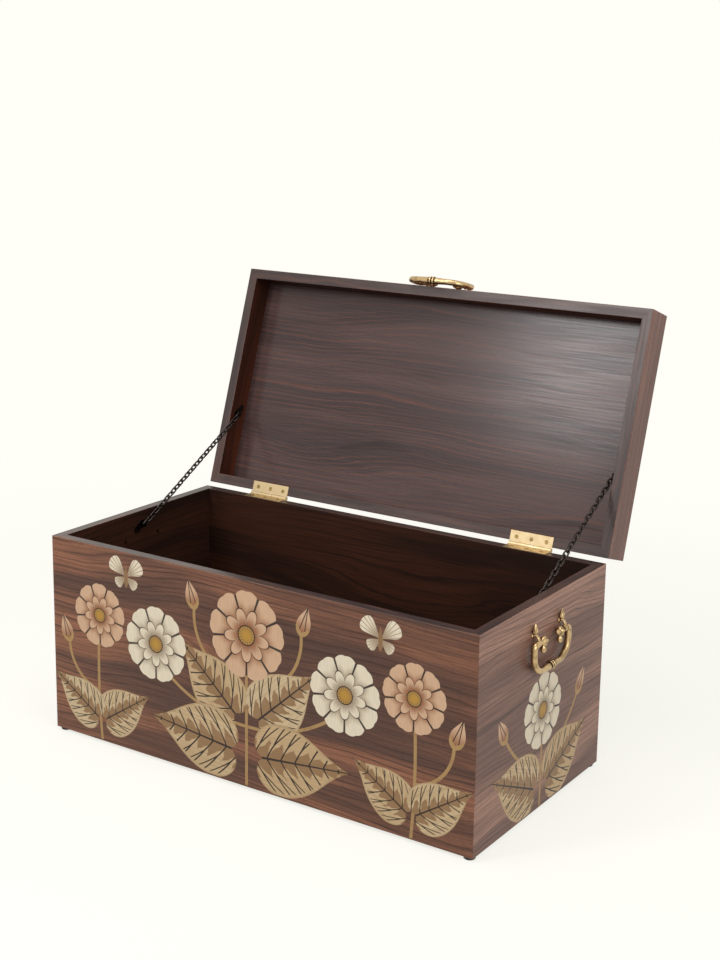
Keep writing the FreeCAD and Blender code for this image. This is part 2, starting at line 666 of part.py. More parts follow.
# Each design: places as shares of half the face's width and of its height.
# Leaves: size, place of the root, direction. Blossoms: place, share of the blossom radius.
# Buds: place of the root, direction. Stems: three places. Rows off the middle are mirrored.
FRONT_SHARES = {
    "blush_blossoms": ((0.0, 0.74, 1.1), (0.745, 0.65, 0.83)),
    "cream_blossoms": ((0.45, 0.58, 0.96),),
    "butterflies": ((0.6, 0.88),),
    "buds": ((0.25, 0.8, 74), (0.91, 0.47, 72)),
    "leaves": (("large", 0.045, 0.165, 6), ("middle", 0.04, 0.33, 42),
               ("small", 0.75, 0.11, 33), ("small", 0.735, 0.11, 147)),
    "middle_stem": 0.66,
    "stems": (((0.0, 0.3), (0.26, 0.36), (0.43, 0.49)), ((0.0, 0.5), (0.2, 0.6), (0.252, 0.82)),
              ((0.743, 0.0), (0.755, 0.27), (0.748, 0.6)), ((0.75, 0.26), (0.855, 0.32), (0.913, 0.49))),
}
END_SHARES = {
    "blush_blossoms": (),
    "cream_blossoms": ((0.0, 0.47, 0.92),),
    "butterflies": (),
    "buds": ((0.56, 0.43, 60),),
    "leaves": (("middle", 0.06, 0.1, 24),),
    "middle_stem": 0.4,
    "stems": (((0.0, 0.2), (0.32, 0.29), (0.57, 0.445)),),
}
# Scraps of a piece that its neighbours cut off are left out below this share of it.
SCRAP_SHARE = 0.04


def both_ways(shape, along=1):
    """A piece and its mirror image across the middle of the face, unless it stands there."""
    return [shape, shape.mirror(ORIGIN, AXIS_X)] if along else [shape]


def inlay(shares, width):
    """The veneers of one face by kind; each gives way to those before it and to the margin."""
    half, high = width / 2, size.box_height

    def spot(along, up):
        return Vector(along * half, up * high, 0)

    layers = {"blush_blossoms": [], "cream_blossoms": [], "butterflies": [], "buds": [],
              "leaves": [], "stems": []}
    for kind in ("blush_blossoms", "cream_blossoms"):
        for along, up, share in shares[kind]:
            layers[kind] += both_ways(turned(blossom(share), 0, along * half, up * high), along)
    for along, up in shares["butterflies"]:
        layers["butterflies"] += both_ways(turned(butterfly(), 0, along * half, up * high))
    bud = slab(mirrored_outline(BUD_SHARES, size.bud_length, size.bud_width))
    for along, up, angle in shares["buds"]:
        layers["buds"] += both_ways(turned(bud, angle, along * half, up * high))
    for kind, along, up, angle in shares["leaves"]:
        layers["leaves"] += both_ways(turned(leaf_blade(kind), angle, along * half, up * high))
    layers["stems"].append(straight_stem(shares["middle_stem"] * high))
    for places in shares["stems"]:
        layers["stems"] += both_ways(stem(*[spot(*place) for place in places]))

    margin = size.arris + size.inlay_margin
    field = Part.makeBox(width - 2 * margin, high - 2 * margin, size.inlay_thickness,
                         Vector(margin - half, margin, -size.inlay_thickness))
    earlier = []
    for kind, shapes in layers.items():
        kept = []
        for shape in shapes:
            whole = shape.Volume
            trimmed = shape.common(field)
            if earlier:
                trimmed = trimmed.cut(earlier)
            solids = [solid for solid in trimmed.Solids if solid.Volume > SCRAP_SHARE * whole]
            kept += solids
            earlier += solids
        layers[kind] = kept
    return layers


def face_place(x, y, turn):
    """The place of an outer face, from the middle of its lower edge."""
    return Placement(Vector(x, y, size.foot_height),
                     Rotation(AXIS_Z, turn).multiply(Rotation(AXIS_X, 90)))


front_veneers = inlay(FRONT_SHARES, size.trunk_length)
end_veneers = inlay(END_SHARES, size.trunk_width)
front_face = face_place(0, -size.trunk_width / 2, 0)
end_faces = {-1: face_place(-size.trunk_length / 2, 0, -90), 1: face_place(size.trunk_length / 2, 0, 90)}


def inlay_cuts(name, veneers, spot):
    shapes = [shape for kind in veneers.values() for shape in kind]
    return plain(name, Part.makeCompound(shapes), spot)


# Glides


def foot(name, x, y, hole):
    body = doc.addObject("PartDesign::Body", f"{name}_body")
    disc = body.newObject("PartDesign::AdditiveCylinder", f"{name}_disc")
    bind(disc, Radius="foot_diameter / 2", Height="foot_height")
    doc.recompute()
    rims = [f"Edge{index}" for index, edge in enumerate(disc.Shape.Edges, start=1)
            if edge.isClosed() and edge.BoundBox.ZMax < size.foot_height / 2]
    bevel = body.newObject("PartDesign::Chamfer", f"{name}_bevel")
    bevel.Base = (disc, rims)
    bind(bevel, Size="foot_edge")
    place(body, x, y, "0")
    return less(f"{name}_foot", body, [hole])


foot_spots = {(across, along): Vector(across * (size.trunk_length / 2 - size.foot_inset),
                                      along * (size.trunk_width / 2 - size.foot_inset), size.foot_recess)
              for across in (-1, 1) for along in (-1, 1)}
foot_screws, foot_holes = screw_set(
    size.small_screw_diameter, size.small_screw_head, size.small_screw_length,
    [pointing(AXIS_Z, spot) for spot in foot_spots.values()], size.foot_recess)

# Box

box = frame_of_boards("box", "box_height", "foot_height")
slot_z = "foot_height + bottom_lift"
bottom_slot = block(
    "bottom_slot", ("-trunk_length / 2 + wall - groove_depth", "-trunk_width / 2 + wall - groove_depth",
                    slot_z),
    ("trunk_length - 2 * (wall - groove_depth)", "trunk_width - 2 * (wall - groove_depth)",
     "bottom_thickness + slot_clearance"))
bottom = block(
    "bottom", ("-trunk_length / 2 + wall - groove_depth + slot_clearance",
               "-trunk_width / 2 + wall - groove_depth + slot_clearance", slot_z),
    ("trunk_length - 2 * (wall - groove_depth + slot_clearance)",
     "trunk_width - 2 * (wall - groove_depth + slot_clearance)", "bottom_thickness"))
node("bottom_panel", bottom)
foot_cuts = plain("foot_cuts", Part.makeCompound(foot_holes))
box_seats = [leaf_seat(f"{name}_box_seat", side, box_leaf_z) for side, name in SIDES.items()]
node("front_panel", less("front_panel_cut", box.front,
                         [bottom_slot, foot_cuts, inlay_cuts("front_pockets", front_veneers, front_face)]))
node("back_panel", less("back_panel_cut", box.back,
                        [bottom_slot, foot_cuts, box_leaf_holes] + box_seats))
for side, name in SIDES.items():
    stock = box.left if side < 0 else box.right
    node(f"{name}_end_panel", less(f"{name}_end_cut", stock, [
        bottom_slot, foot_cuts, handle_cuts[f"{name}_end"],
        plate_cuts(f"{name}_box_plate_holes", box_plate_frames[side]),
        inlay_cuts(f"{name}_end_pockets", end_veneers, end_faces[side])]))
for (across, along), hole in zip(foot_spots, foot_holes):
    name = f"{'front' if along < 0 else 'back'}_{SIDES[across]}_foot"
    node(name, foot(name, f"{across} * (trunk_length / 2 - foot_inset)",
                    f"{along} * (trunk_width / 2 - foot_inset)", plain(f"{name}_hole", hole)))
group("foot_screws", foot_screws)

# Lid

lid = frame_of_boards("lid", "lid_depth", LID_UNDER)
rabbet = block(
    "rabbet", ("-trunk_length / 2 + wall - rabbet_width", "-trunk_width / 2 + wall - rabbet_width",
               f"{LID_UNDER} + lid_depth - lid_panel_thickness"),
    ("trunk_length - 2 * (wall - rabbet_width)", "trunk_width - 2 * (wall - rabbet_width)",
     "lid_panel_thickness + overrun"))
lid_seats = [leaf_seat(f"{name}_lid_seat", side, f"({LID_UNDER} - overrun)")
             for side, name in SIDES.items()]
top = doc.addObject("PartDesign::Body", "lid_top")
sheet_of_wood = top.newObject("PartDesign::AdditiveBox", "lid_top_blank")
bind(sheet_of_wood, Length="trunk_length - 2 * (wall - rabbet_width + slot_clearance)",
     Width="trunk_width - 2 * (wall - rabbet_width + slot_clearance)", Height="lid_panel_thickness")
place(sheet_of_wood, "-trunk_length / 2 + wall - rabbet_width + slot_clearance",
      "-trunk_width / 2 + wall - rabbet_width + slot_clearance",
      f"{LID_UNDER} + lid_depth - lid_panel_thickness")
node("lid_top_panel", top, LID_OPEN)
node("lid_front_rail", less("lid_front_cut", lid.front, [rabbet, handle_cuts["lid"]]), LID_OPEN)
node("lid_back_rail", less("lid_back_cut", lid.back, [rabbet, lid_leaf_holes] + lid_seats), LID_OPEN)
for side, name in SIDES.items():
    stock = lid.left if side < 0 else lid.right
    node(f"lid_{name}_rail", less(f"lid_{name}_cut", stock, [
        rabbet, plate_cuts(f"{name}_lid_plate_holes", lid_plate_frames[side])]), LID_OPEN)

# Hinges

for side, name in SIDES.items():
    even, odd = range(0, KNUCKLES, 2), range(1, KNUCKLES, 2)
    node(f"{name}_hinge_box_leaf", hinge_leaf(f"{name}_box", side, even, box_leaf_z, [box_leaf_holes]))
    node(f"{name}_hinge_lid_leaf",
         hinge_leaf(f"{name}_lid", side, odd, lid_leaf_z, [lid_leaf_holes]), LID_OPEN)
    node(f"{name}_hinge_pin", rod(f"{name}_pin", (f"{side} * {HINGE_X} - hinge_length / 2", PIN_Y, PIN_Z),
                                  "hinge_pin_diameter / 2", "hinge_length", AXIS_X))
group("hinge_box_screws", box_hinge_screws)
group("hinge_lid_screws", lid_hinge_screws, LID_OPEN)

# Handles

pivot_line = Vector(0, -size.handle_standoff, 0)
for name, spot in HANDLE_PLACES.items():
    fixed = LID_OPEN.multiply(spot) if name == "lid" else spot
    lean = bail_lean if name == "lid" else 0
    swung = fixed.multiply(Placement(ORIGIN, Rotation(AXIS_X, lean), pivot_line))
    group(f"{name}_handle_mounts", [mount(-1), mount(1)], fixed)
    group(f"{name}_handle_screws", handle_screws, fixed)
    node(f"{name}_handle_bail", plain(f"{name}_bail", bail(), swung))
    group(f"{name}_handle_knobs", [knob(-1), knob(1)], swung)

# Stay chains

RUN_NAMES = ("lower_run", "bottom_turn", "upper_run")
for side, name in SIDES.items():
    node(f"{name}_chain_box_plate",
         less(f"{name}_box_plate", plain(f"{name}_box_plate_blank", chain_plate(), box_plate_frames[side]),
              [plate_cuts(f"{name}_box_plate_drill", box_plate_frames[side])]))
    node(f"{name}_chain_lid_plate",
         less(f"{name}_lid_plate", plain(f"{name}_lid_plate_blank", chain_plate(), lid_plate_frames[side]),
              [plate_cuts(f"{name}_lid_plate_drill", lid_plate_frames[side])]), LID_OPEN)
    for run, links in zip(RUN_NAMES, chain_runs(side)):
        group(f"{name}_chain_{run}", links)
group("chain_box_plate_screws", placed(plate_screws, box_plate_frames.values()))
group("chain_lid_plate_screws", placed(plate_screws, lid_plate_frames.values()), LID_OPEN)

# Inlay

group("front_inlay_leaves", front_veneers["leaves"], front_face)
group("front_inlay_stems", front_veneers["stems"], front_face)
group("front_inlay_cream_blossoms", front_veneers["cream_blossoms"], front_face)
group("front_inlay_blush_blossoms", front_veneers["blush_blossoms"] + front_veneers["buds"], front_face)
group("front_inlay_butterflies", front_veneers["butterflies"], front_face)
for side, name in SIDES.items():
    group(f"{name}_end_inlay_leaves", end_veneers["leaves"], end_faces[side])
    group(f"{name}_end_inlay_stems", end_veneers["stems"], end_faces[side])
    group(f"{name}_end_inlay_blossoms", end_veneers["cream_blossoms"] + end_veneers["buds"],
          end_faces[side])

# Check and write

doc.recompute()
for thing in doc.Objects:
    if "Invalid" in thing.State or "Error" in thing.State:
        raise RuntimeError(f"{thing.Label}: {thing.State}")
os.makedirs("parts", exist_ok=True)
for thing in nodes:
    shape = thing.Shape
    if shape.isNull() or not shape.isValid() or not shape.Solids:
        raise RuntimeError(f"{thing.Label} has no sound solid")
    shape.exportStep(f"parts/{thing.Label}.step")
    print(thing.Label, len(shape.Solids), round(shape.Volume))
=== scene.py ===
"""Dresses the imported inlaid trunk: rosewood, marquetry, brass, stay chains and studio."""

import json
import math
from functools import partial

import bmesh
import bpy
from mathutils import Matrix, Vector


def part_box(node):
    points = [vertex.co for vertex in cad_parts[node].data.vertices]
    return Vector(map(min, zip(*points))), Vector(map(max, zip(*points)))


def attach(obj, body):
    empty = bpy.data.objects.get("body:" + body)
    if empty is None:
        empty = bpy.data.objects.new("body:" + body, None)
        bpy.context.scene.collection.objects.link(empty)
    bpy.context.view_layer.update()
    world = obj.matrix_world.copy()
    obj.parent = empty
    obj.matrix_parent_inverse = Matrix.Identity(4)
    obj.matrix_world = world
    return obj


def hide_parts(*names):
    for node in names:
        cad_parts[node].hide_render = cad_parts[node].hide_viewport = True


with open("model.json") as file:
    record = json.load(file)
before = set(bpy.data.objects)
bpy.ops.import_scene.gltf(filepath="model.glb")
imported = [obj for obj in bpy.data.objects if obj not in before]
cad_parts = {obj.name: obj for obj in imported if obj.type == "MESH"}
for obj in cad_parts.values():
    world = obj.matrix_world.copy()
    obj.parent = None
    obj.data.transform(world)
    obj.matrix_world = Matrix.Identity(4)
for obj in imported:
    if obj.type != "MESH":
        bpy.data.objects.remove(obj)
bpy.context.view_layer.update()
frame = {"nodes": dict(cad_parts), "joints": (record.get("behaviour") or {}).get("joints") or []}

bl_info = {
    "name": "Inlaid trunk",
    "version": (1, 0, 0),
    "blender": (4, 5, 0),
    "location": "View3D > Sidebar > Trunk",
    "description": "Finishes the packed trunk with rosewood, marquetry, brass and chains",
    "category": "Object",
}

# Measures read from the frame, in metres.
NODES = frame["nodes"]
FRONT_LOW, FRONT_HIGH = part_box("front_panel")
HALF_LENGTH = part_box("right_end_panel")[1].x
HALF_WIDTH = -FRONT_LOW.y
WALL = FRONT_HIGH.y - FRONT_LOW.y
FOOT = FRONT_LOW.z
HEIGHT = FRONT_HIGH.z - FRONT_LOW.z
HINGE = next(joint for joint in frame["joints"] if joint["name"] == "lid_hinge")
PIN = Vector(HINGE["pos_m"])
LID_ANGLE = math.radians(HINGE["range_deg"][1])
SHUT = Matrix.Rotation(LID_ANGLE, 3, "X")


def linear(code):
    """An sRGB hex colour as linear red, green and blue."""
    shares = [int(code[at:at + 2], 16) / 255 for at in (1, 3, 5)]
    return tuple(s / 12.92 if s <= 0.04045 else ((s + 0.055) / 1.055) ** 2.4 for s in shares)


def tint(name, description, code):
    """A colour that a user may change, from its sRGB hex code."""
    return bpy.props.FloatVectorProperty(
        name=name, description=description, subtype="COLOR", size=3, min=0, max=1,
        default=linear(code))


def span(name, description, metres):
    """A length that a user may change, in metres."""
    return bpy.props.FloatProperty(
        name=name, description=description, unit="LENGTH", min=0, default=metres, precision=4)


class TrunkColours(bpy.types.PropertyGroup):
    """Colours of the trunk's woods, metals and backdrop."""

    front_light: tint("Front light", "Light figure of the front and back boards", "#a36e54")
    front_dark: tint("Front dark", "Dark figure of the front and back boards", "#5a3f35")
    end_light: tint("End light", "Light figure of the end boards", "#b68a76")
    end_dark: tint("End dark", "Dark figure of the end boards", "#7c5a4e")
    lid_light: tint("Lid light", "Light figure of the lid's rails", "#9e7060")
    lid_dark: tint("Lid dark", "Dark figure of the lid's rails", "#7f584c")
    panel_light: tint("Panel light", "Light figure of the lid's panel inside", "#554341")
    panel_dark: tint("Panel dark", "Dark figure of the lid's panel inside", "#413535")
    inside_light: tint("Inside light", "Light figure of the stained inside", "#402419")
    inside_dark: tint("Inside dark", "Dark figure of the stained inside", "#261711")
    rim_light: tint("Rim light", "Light figure of the rims of the box", "#43342f")
    rim_dark: tint("Rim dark", "Dark figure of the rims of the box", "#2f2524")
    lid_rim_light: tint("Lid rim light", "Light figure of the rims of the lid", "#5d4c49")
    lid_rim_dark: tint("Lid rim dark", "Dark figure of the rims of the lid", "#423837")
    rail_light: tint("Rail light", "Light figure of the lid's rails inside", "#5c2f1e")
    rail_dark: tint("Rail dark", "Dark figure of the lid's rails inside", "#3a1d13")
    growth: tint("Growth line", "Lines between the growth zones", "#472e26")
    panel_growth: tint("Panel growth line", "Reddish lines in the lid's panel inside", "#6f483d")
    streak: tint("Streak", "Near-black streaks and pores in the heartwood", "#1c1411")
    leaf: tint("Leaf", "Leaf veneer", "#d6b68a")
    leaf_pale: tint("Pale leaf", "Light bands of the leaf veneer", "#e2c8a0")
    leaf_shade: tint("Leaf shade", "Sand-shaded parts of the leaves", "#9c7752")
    vein: tint("Vein", "Dark lines let into leaves and petals", "#2f211b")
    stem: tint("Stem", "Stem veneer", "#c09a66")
    cream: tint("Cream petal", "Light parts of the cream petals", "#fff0d4")
    cream_shade: tint("Cream shade", "Sand-shaded parts of the cream petals", "#bca68a")
    blush: tint("Blush petal", "Light parts of the blush petals", "#e8bf9b")
    blush_shade: tint("Blush shade", "Sand-shaded parts of the blush petals", "#a9714f")
    heart: tint("Heart", "Middle of each blossom", "#c99a45")
    screw_brass: tint("Screw brass", "Hinge screws, darker than the leaves", "#826d45")
    hinge_brass: tint("Hinge brass", "Bright polished brass", "#c6b18c")
    handle_brass: tint("Handle brass", "Cast brass, aged golden", "#c5a87d")
    # Tarnish and painted shade: this brown darkens the cast brass's hollows, and is also the
    # bronzed screws' own colour.
    tarnish_and_shade: tint("Tarnish", "Brown in the hollows of the cast brass", "#332511")
    steel: tint("Blackened steel", "Chains and their plates", "#37302e")
    screw: tint("Screw steel", "Bright screws", "#b9b4aa")
    glide: tint("Glide", "Moulded glides under the corners", "#161616")
    backdrop: tint("Backdrop", "Floor and backdrop", "#fffef7")


class TrunkSizes(bpy.types.PropertyGroup):
    """Sizes of the figure in the wood and of the small fittings."""

    growth_spacing: span("Growth spacing", "From one growth line to the next", 0.0105)
    figure_length: span("Figure length", "Length of the sweeps along the grain", 0.62)
    figure_width: span("Figure width", "Width of the sweeps", 0.19)
    ripple_length: span("Ripple length", "Length of the small waves in the growth lines", 0.16)
    fibre_width: span(
        "Fibre width", "Width of the fibre lines, drawn coarse enough to show", 0.0032)
    pore_length: span(
        "Pore length", "Length of the open pores, drawn coarse enough to show", 0.013)
    link_length: span("Link length", "A link along its wire's middle line", 0.015589)
    link_bow: span("Link bow", "Radius of a link's end", 0.0042)
    link_wire: span("Link wire", "Diameter of the chain's wire", 0.0032)
    link_pitch: span("Link pitch", "From one link's middle to the next", 0.012089)
    knob_length: span("Knob length", "Length of a flower knob", 0.027)
    knob_width: span("Knob width", "Widest diameter of a flower knob", 0.018)
    bud_drop: span("Bud drop", "How far a knob's bud hangs below the pivot", 0.0215)
    bud_width: span("Bud width", "Widest diameter of a hanging bud", 0.0112)
    boss_height: span("Boss height", "A mount's rosette, out of the wood", 0.003)
    boss_width: span("Boss width", "Diameter of a mount's rosette", 0.011)
    finial_length: span("Finial length", "Length of a mount's flame-shaped tip", 0.0225)
    finial_width: span("Finial width", "Widest diameter of a mount's tip", 0.0135)
    strap_width: span("Strap width", "Width of the strap from rosette to eye", 0.0066)
    eye_length: span("Eye length", "Length of the eye that holds the bail", 0.008)
    eye_width: span("Eye width", "Outer diameter of the eye", 0.011)


class TrunkView(bpy.types.PropertyGroup):
    """Where the camera stands."""

    azimuth: bpy.props.FloatProperty(
        name="Azimuth", description="Turn of the camera round the trunk, from straight in front",
        subtype="ANGLE", default=math.radians(33.619))
    elevation: bpy.props.FloatProperty(
        name="Elevation", description="How steeply the camera looks down",
        subtype="ANGLE", default=math.radians(12.3181))
    roll: bpy.props.FloatProperty(
        name="Roll", description="Tilt of the camera about its own line of sight",
        subtype="ANGLE", default=math.radians(0.8165))
    place: bpy.props.FloatVectorProperty(
        name="Place", description="Where the camera stands", subtype="TRANSLATION",
        size=3, default=(1.596499, -2.286482, 1.242554))
    lens: bpy.props.FloatProperty(
        name="Lens", description="Focal length", unit="CAMERA", default=59.80)
    shift: bpy.props.FloatProperty(
        name="Shift", description="Vertical shift that frames the trunk", default=-0.0664)


def colours():
    """The colours set for this scene."""
    return bpy.context.scene.trunk_colours


def sizes():
    """The sizes set for this scene."""
    return bpy.context.scene.trunk_sizes


def rgba(colour):
    """A colour with full opacity, as a node's socket takes it."""
    return (*colour, 1.0)


def add(tree, kind, *inputs, out=0, **settings):
    """Adds a node with its settings, fills or links its inputs and gives an output."""
    node = tree.nodes.new(kind)
    for name, value in settings.items():
        setattr(node, name, value)
    sockets = {}
    for at, given in enumerate(inputs):
        sockets.update(given if isinstance(given, dict) else {at: given})
    for name, value in sockets.items():
        if isinstance(value, bpy.types.NodeSocket):
            tree.links.new(value, node.inputs[name])
        else:
            node.inputs[name].default_value = value
    return node.outputs[out] if len(node.outputs) else node


def new_material(name):
    """An empty node material and its tree."""
    material = bpy.data.materials.new(name)
    material.use_nodes = True
    material.node_tree.nodes.clear()
    return material, material.node_tree


def surface(tree, inputs):
    """Ends a material's tree in a Principled shader."""
    shader = add(tree, "ShaderNodeBsdfPrincipled", inputs)
    add(tree, "ShaderNodeOutputMaterial", {"Surface": shader})


def dress(names, material):
    """Gives CAD nodes one material."""
    for name in names:
        NODES[name].data.materials.clear()
        NODES[name].data.materials.append(material)


def stand_in(name, mesh, node, body):
    """Makes a mesh the piece that takes a CAD node's place and moves with a body."""
    piece = bpy.data.objects.new(name, mesh)
    bpy.context.scene.collection.objects.link(piece)
    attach(piece, body)
    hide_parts(node)


MATH, MAP, MIX = "ShaderNodeMath", "ShaderNodeMapRange", "ShaderNodeMix"
NOISE, PAIR, VECTOR = "ShaderNodeTexNoise", "ShaderNodeCombineXYZ", "ShaderNodeVectorMath"
SOFT = {"interpolation_type": "SMOOTHSTEP"}
# A Mix node of colours: its settings, and its sockets for the share, the tone below and the
# one over it.
TONE = {"data_type": "RGBA", "out": 2}
SHARE, UNDER, OVER = 0, 6, 7
# Where most values of a noise lie.
MOST = (0.3, 0.7)


# Woods. The figure of rosewood: lengths run along the grain in metres, widths are in growth lines.

FIGURE_ROUGHNESS = 0.55
# Growth lines that the long sweeps and the ripples push aside, and a ripple's length to its width.
SWEEP_PUSH, RIPPLE_PUSH, RIPPLE_SLENDER = 7.0, 1.1, 5
# Where the lines crowd.
CROWD_LENGTH, CROWD_WIDTH, CROWD_PUSH = 1.4, 3.1, 2.4
# Parts of a year in which the late wood darkens and ends.
LATE_RISE, LATE_FALL = (0.62, 0.93), (0.94, 1.0)
# Where the lines show clearly, and the share of them that shows elsewhere.
CLEAR_LENGTH, CLEAR_WIDTH, CLEAR_SPAN, FAINT_SHARE = 0.5, 4.3, (0.32, 0.64), 0.4
# Finer lines between the growth lines: how many, where they darken and how far.
SEASONS, SEASON_RISE, SEASON_SHARE = 2.73, (0.66, 0.97), 0.45
# Broad light and dark zones.
ZONE_LENGTH, ZONE_WIDTH, ZONE_SPAN, ZONE_LEAST = 0.8, 7.0, (0.34, 0.66), 0.05
# Near-black streaks.
STREAK_LENGTH, STREAK_WIDTH, STREAK_SPAN, STREAK_SHARE = 0.55, 2.3, (0.63, 0.8), 0.85
# Fibres and pores: length to width, where they show and how far they tint the wood.
FIBRE_SLENDER, FIBRE_SPAN, FIBRE_TINT, FIBRE_SHARE = 45, (0.28, 0.72), (0.7, 1.24), 0.6
PORE_SLENDER, PORE_SPAN, PORE_SHARE = 11, (0.64, 0.74), 0.45
# What the fibres do to the wax: strength and height of their relief, and change in roughness.
FIBRE_RELIEF, FIBRE_HEIGHT, FIBRE_SHEEN = 0.06, 0.0003, 0.03


def rosewood(name, tones, board, lid, roughness, shine, contrast):
    """Rosewood, planed, stained and waxed: long swinging growth lines that darken to one side,
    near-black streaks along them, open pores and a satin sheen."""
    paint, size = colours(), sizes()
    light, dark, growth = (getattr(paint, tone) for tone in tones)
    material, tree = new_material(name)
    put = partial(add, tree)
    place = put("ShaderNodeTexCoord", out="Object")
    if lid:
        place = put("ShaderNodeMapping", place, PIN - SHUT @ PIN, (LID_ANGLE, 0, 0))
    place = put("ShaderNodeMapping", place, (board["shift"], 0, 0), (0, 0, board["turn"]))
    along = put("ShaderNodeSeparateXYZ", place)
    across = put(VECTOR, place, board["rings"], out=1, operation="DOT_PRODUCT")

    def figure(length, width, detail, height=across):
        """Figure of the given length along the grain and width across it."""
        spot = put(PAIR, put(MATH, along, length, operation="DIVIDE"),
                   put(MATH, height, width, operation="DIVIDE"))
        return put(NOISE, {"Vector": spot, "Scale": 1.0, "Detail": detail,
                           "Roughness": FIGURE_ROUGHNESS}, noise_dimensions="2D")

    rings = put(MATH, across, size.growth_spacing, operation="DIVIDE")
    sweep = figure(size.figure_length, size.figure_width, detail=1.0)
    rings = put(MATH, sweep, SWEEP_PUSH, rings, operation="MULTIPLY_ADD")
    ripple = figure(size.ripple_length, size.ripple_length / RIPPLE_SLENDER, detail=2.0)
    rings = put(MATH, ripple, RIPPLE_PUSH, rings, operation="MULTIPLY_ADD")
    for x, up, wide, high, push in board["eyes"]:
        beside = put(MATH, along, x + board["shift"], operation="SUBTRACT")
        above = put(MATH, across, up, operation="SUBTRACT")
        far = put(VECTOR, put(PAIR, beside, above), (1 / wide, 1 / high, 0), operation="MULTIPLY")
        far = put(VECTOR, far, far, out=1, operation="DOT_PRODUCT")
        swell = put(MATH, put(MATH, far, -1.0, operation="MULTIPLY"), operation="EXPONENT")
        rings = put(MATH, swell, push, rings, operation="MULTIPLY_ADD")
    crowd = figure(CROWD_LENGTH, CROWD_WIDTH, detail=0.0, height=rings)
    rings = put(MATH, crowd, CROWD_PUSH, rings, operation="MULTIPLY_ADD")
    year = put(MATH, rings, operation="FRACT")
    late = put(MATH, put(MAP, year, *LATE_RISE, **SOFT),
               put(MAP, year, *LATE_FALL, 1.0, 0.0, **SOFT), operation="MULTIPLY")
    clear = put(MAP, figure(CLEAR_LENGTH, CLEAR_WIDTH, detail=2.0, height=rings), *CLEAR_SPAN,
                FAINT_SHARE * contrast, contrast, **SOFT)
    late = put(MATH, late, clear, operation="MULTIPLY")
    season = put(MATH, put(MATH, rings, SEASONS, operation="MULTIPLY"), operation="FRACT")
    season = put(MAP, season, *SEASON_RISE, 0.0, SEASON_SHARE * contrast, **SOFT)
    late = put(MATH, late, season, operation="MAXIMUM")
    zone = put(MAP, figure(ZONE_LENGTH, ZONE_WIDTH, detail=3.0, height=rings), *ZONE_SPAN,
               ZONE_LEAST, 1.0, **SOFT)
    streak = put(MAP, figure(STREAK_LENGTH, STREAK_WIDTH, detail=3.0, height=rings), *STREAK_SPAN,
                 0.0, STREAK_SHARE * contrast, **SOFT)
    fibre = figure(size.fibre_width * FIBRE_SLENDER, size.fibre_width, detail=2.0)
    pore = put(MAP, figure(size.pore_length, size.pore_length / PORE_SLENDER, detail=1.0),
               *PORE_SPAN, 0.0, PORE_SHARE * contrast, **SOFT)
    tone = put(MIX, {SHARE: zone, UNDER: rgba(dark), OVER: rgba(light)}, **TONE)
    tone = put(MIX, {SHARE: late, UNDER: tone, OVER: rgba(growth)}, **TONE)
    tone = put(MIX, {SHARE: streak, UNDER: tone, OVER: rgba(paint.streak)}, **TONE)
    tone = put(MIX, {SHARE: pore, UNDER: tone, OVER: rgba(paint.streak)}, **TONE)
    tint_of_fibre = put(MAP, fibre, *FIBRE_SPAN, *FIBRE_TINT, **SOFT)
    tone = put(MIX, {SHARE: FIBRE_SHARE, UNDER: tone, OVER: tint_of_fibre},
               blend_type="MULTIPLY", **TONE)
    relief = put("ShaderNodeBump", {
        "Strength": FIBRE_RELIEF, "Distance": FIBRE_HEIGHT, "Height": fibre})
    sheen = put(MAP, fibre, *MOST, roughness + FIBRE_SHEEN, roughness - FIBRE_SHEEN, **SOFT)
    surface(tree, {"Base Color": tone, "Normal": relief, "Specular IOR Level": shine,
                   "Roughness": sheen})
    return material


# Each board: how its grain lies, where it was cut from the log, how the growth rings cross it, and
# swells in its growth lines as places along and across the grain, their reach and the lines pushed.
ALONG, ACROSS = 0.0, -math.pi / 2
UPRIGHT, LYING = (0.0, 0.42, 1.0), (0.0, 1.0, 0.42)
BOARDS = {
    "front_panel": {"turn": ALONG, "shift": 0.31, "rings": UPRIGHT, "tones": "front", "eyes": (
        (-0.02, 0.1, 0.13, 0.055, 4.2), (0.2, 0.19, 0.2, 0.05, -2.2))},
    "back_panel": {"turn": ALONG, "shift": 3.7, "rings": UPRIGHT, "tones": "front", "eyes": (
        (0.1, 0.3, 0.2, 0.06, 3.5),)},
    "bottom_panel": {"turn": ALONG, "shift": 5.9, "rings": LYING, "tones": "front", "eyes": ()},
    "left_end_panel": {"turn": ACROSS, "shift": 7.6, "rings": UPRIGHT, "tones": "end", "eyes": ()},
    "right_end_panel": {"turn": ACROSS, "shift": 9.3, "rings": UPRIGHT, "tones": "end", "eyes": ()},
    "lid_front_rail": {"turn": ALONG, "shift": 11.2, "rings": UPRIGHT, "tones": "lid", "eyes": ()},
    "lid_back_rail": {"turn": ALONG, "shift": 13.4, "rings": UPRIGHT, "tones": "lid", "eyes": ()},
    "lid_left_rail": {"turn": ACROSS, "shift": 15.2, "rings": UPRIGHT, "tones": "lid", "eyes": ()},
    "lid_right_rail": {"turn": ACROSS, "shift": 17.9, "rings": UPRIGHT, "tones": "lid", "eyes": ()},
    "lid_top_panel": {"turn": ALONG, "shift": 19.1, "rings": LYING, "tones": "lid", "eyes": ()},
}
# Roughness and specular level of each finish, and how clearly the figure shows under it.
WAXED, POLISHED, STAINED, RUBBED = (0.42, 0.3), (0.2, 0.26), (0.5, 0.14), (0.3, 0.26)
WAXED_CONTRAST = {"front": 0.9, "end": 0.75, "lid": 0.9}
INSIDE_CONTRAST, RIM_CONTRAST = 0.7, 0.4
# The lid's hollow, up to the inner face of its panel when it is shut.
LID_HOLLOW = 0.0525
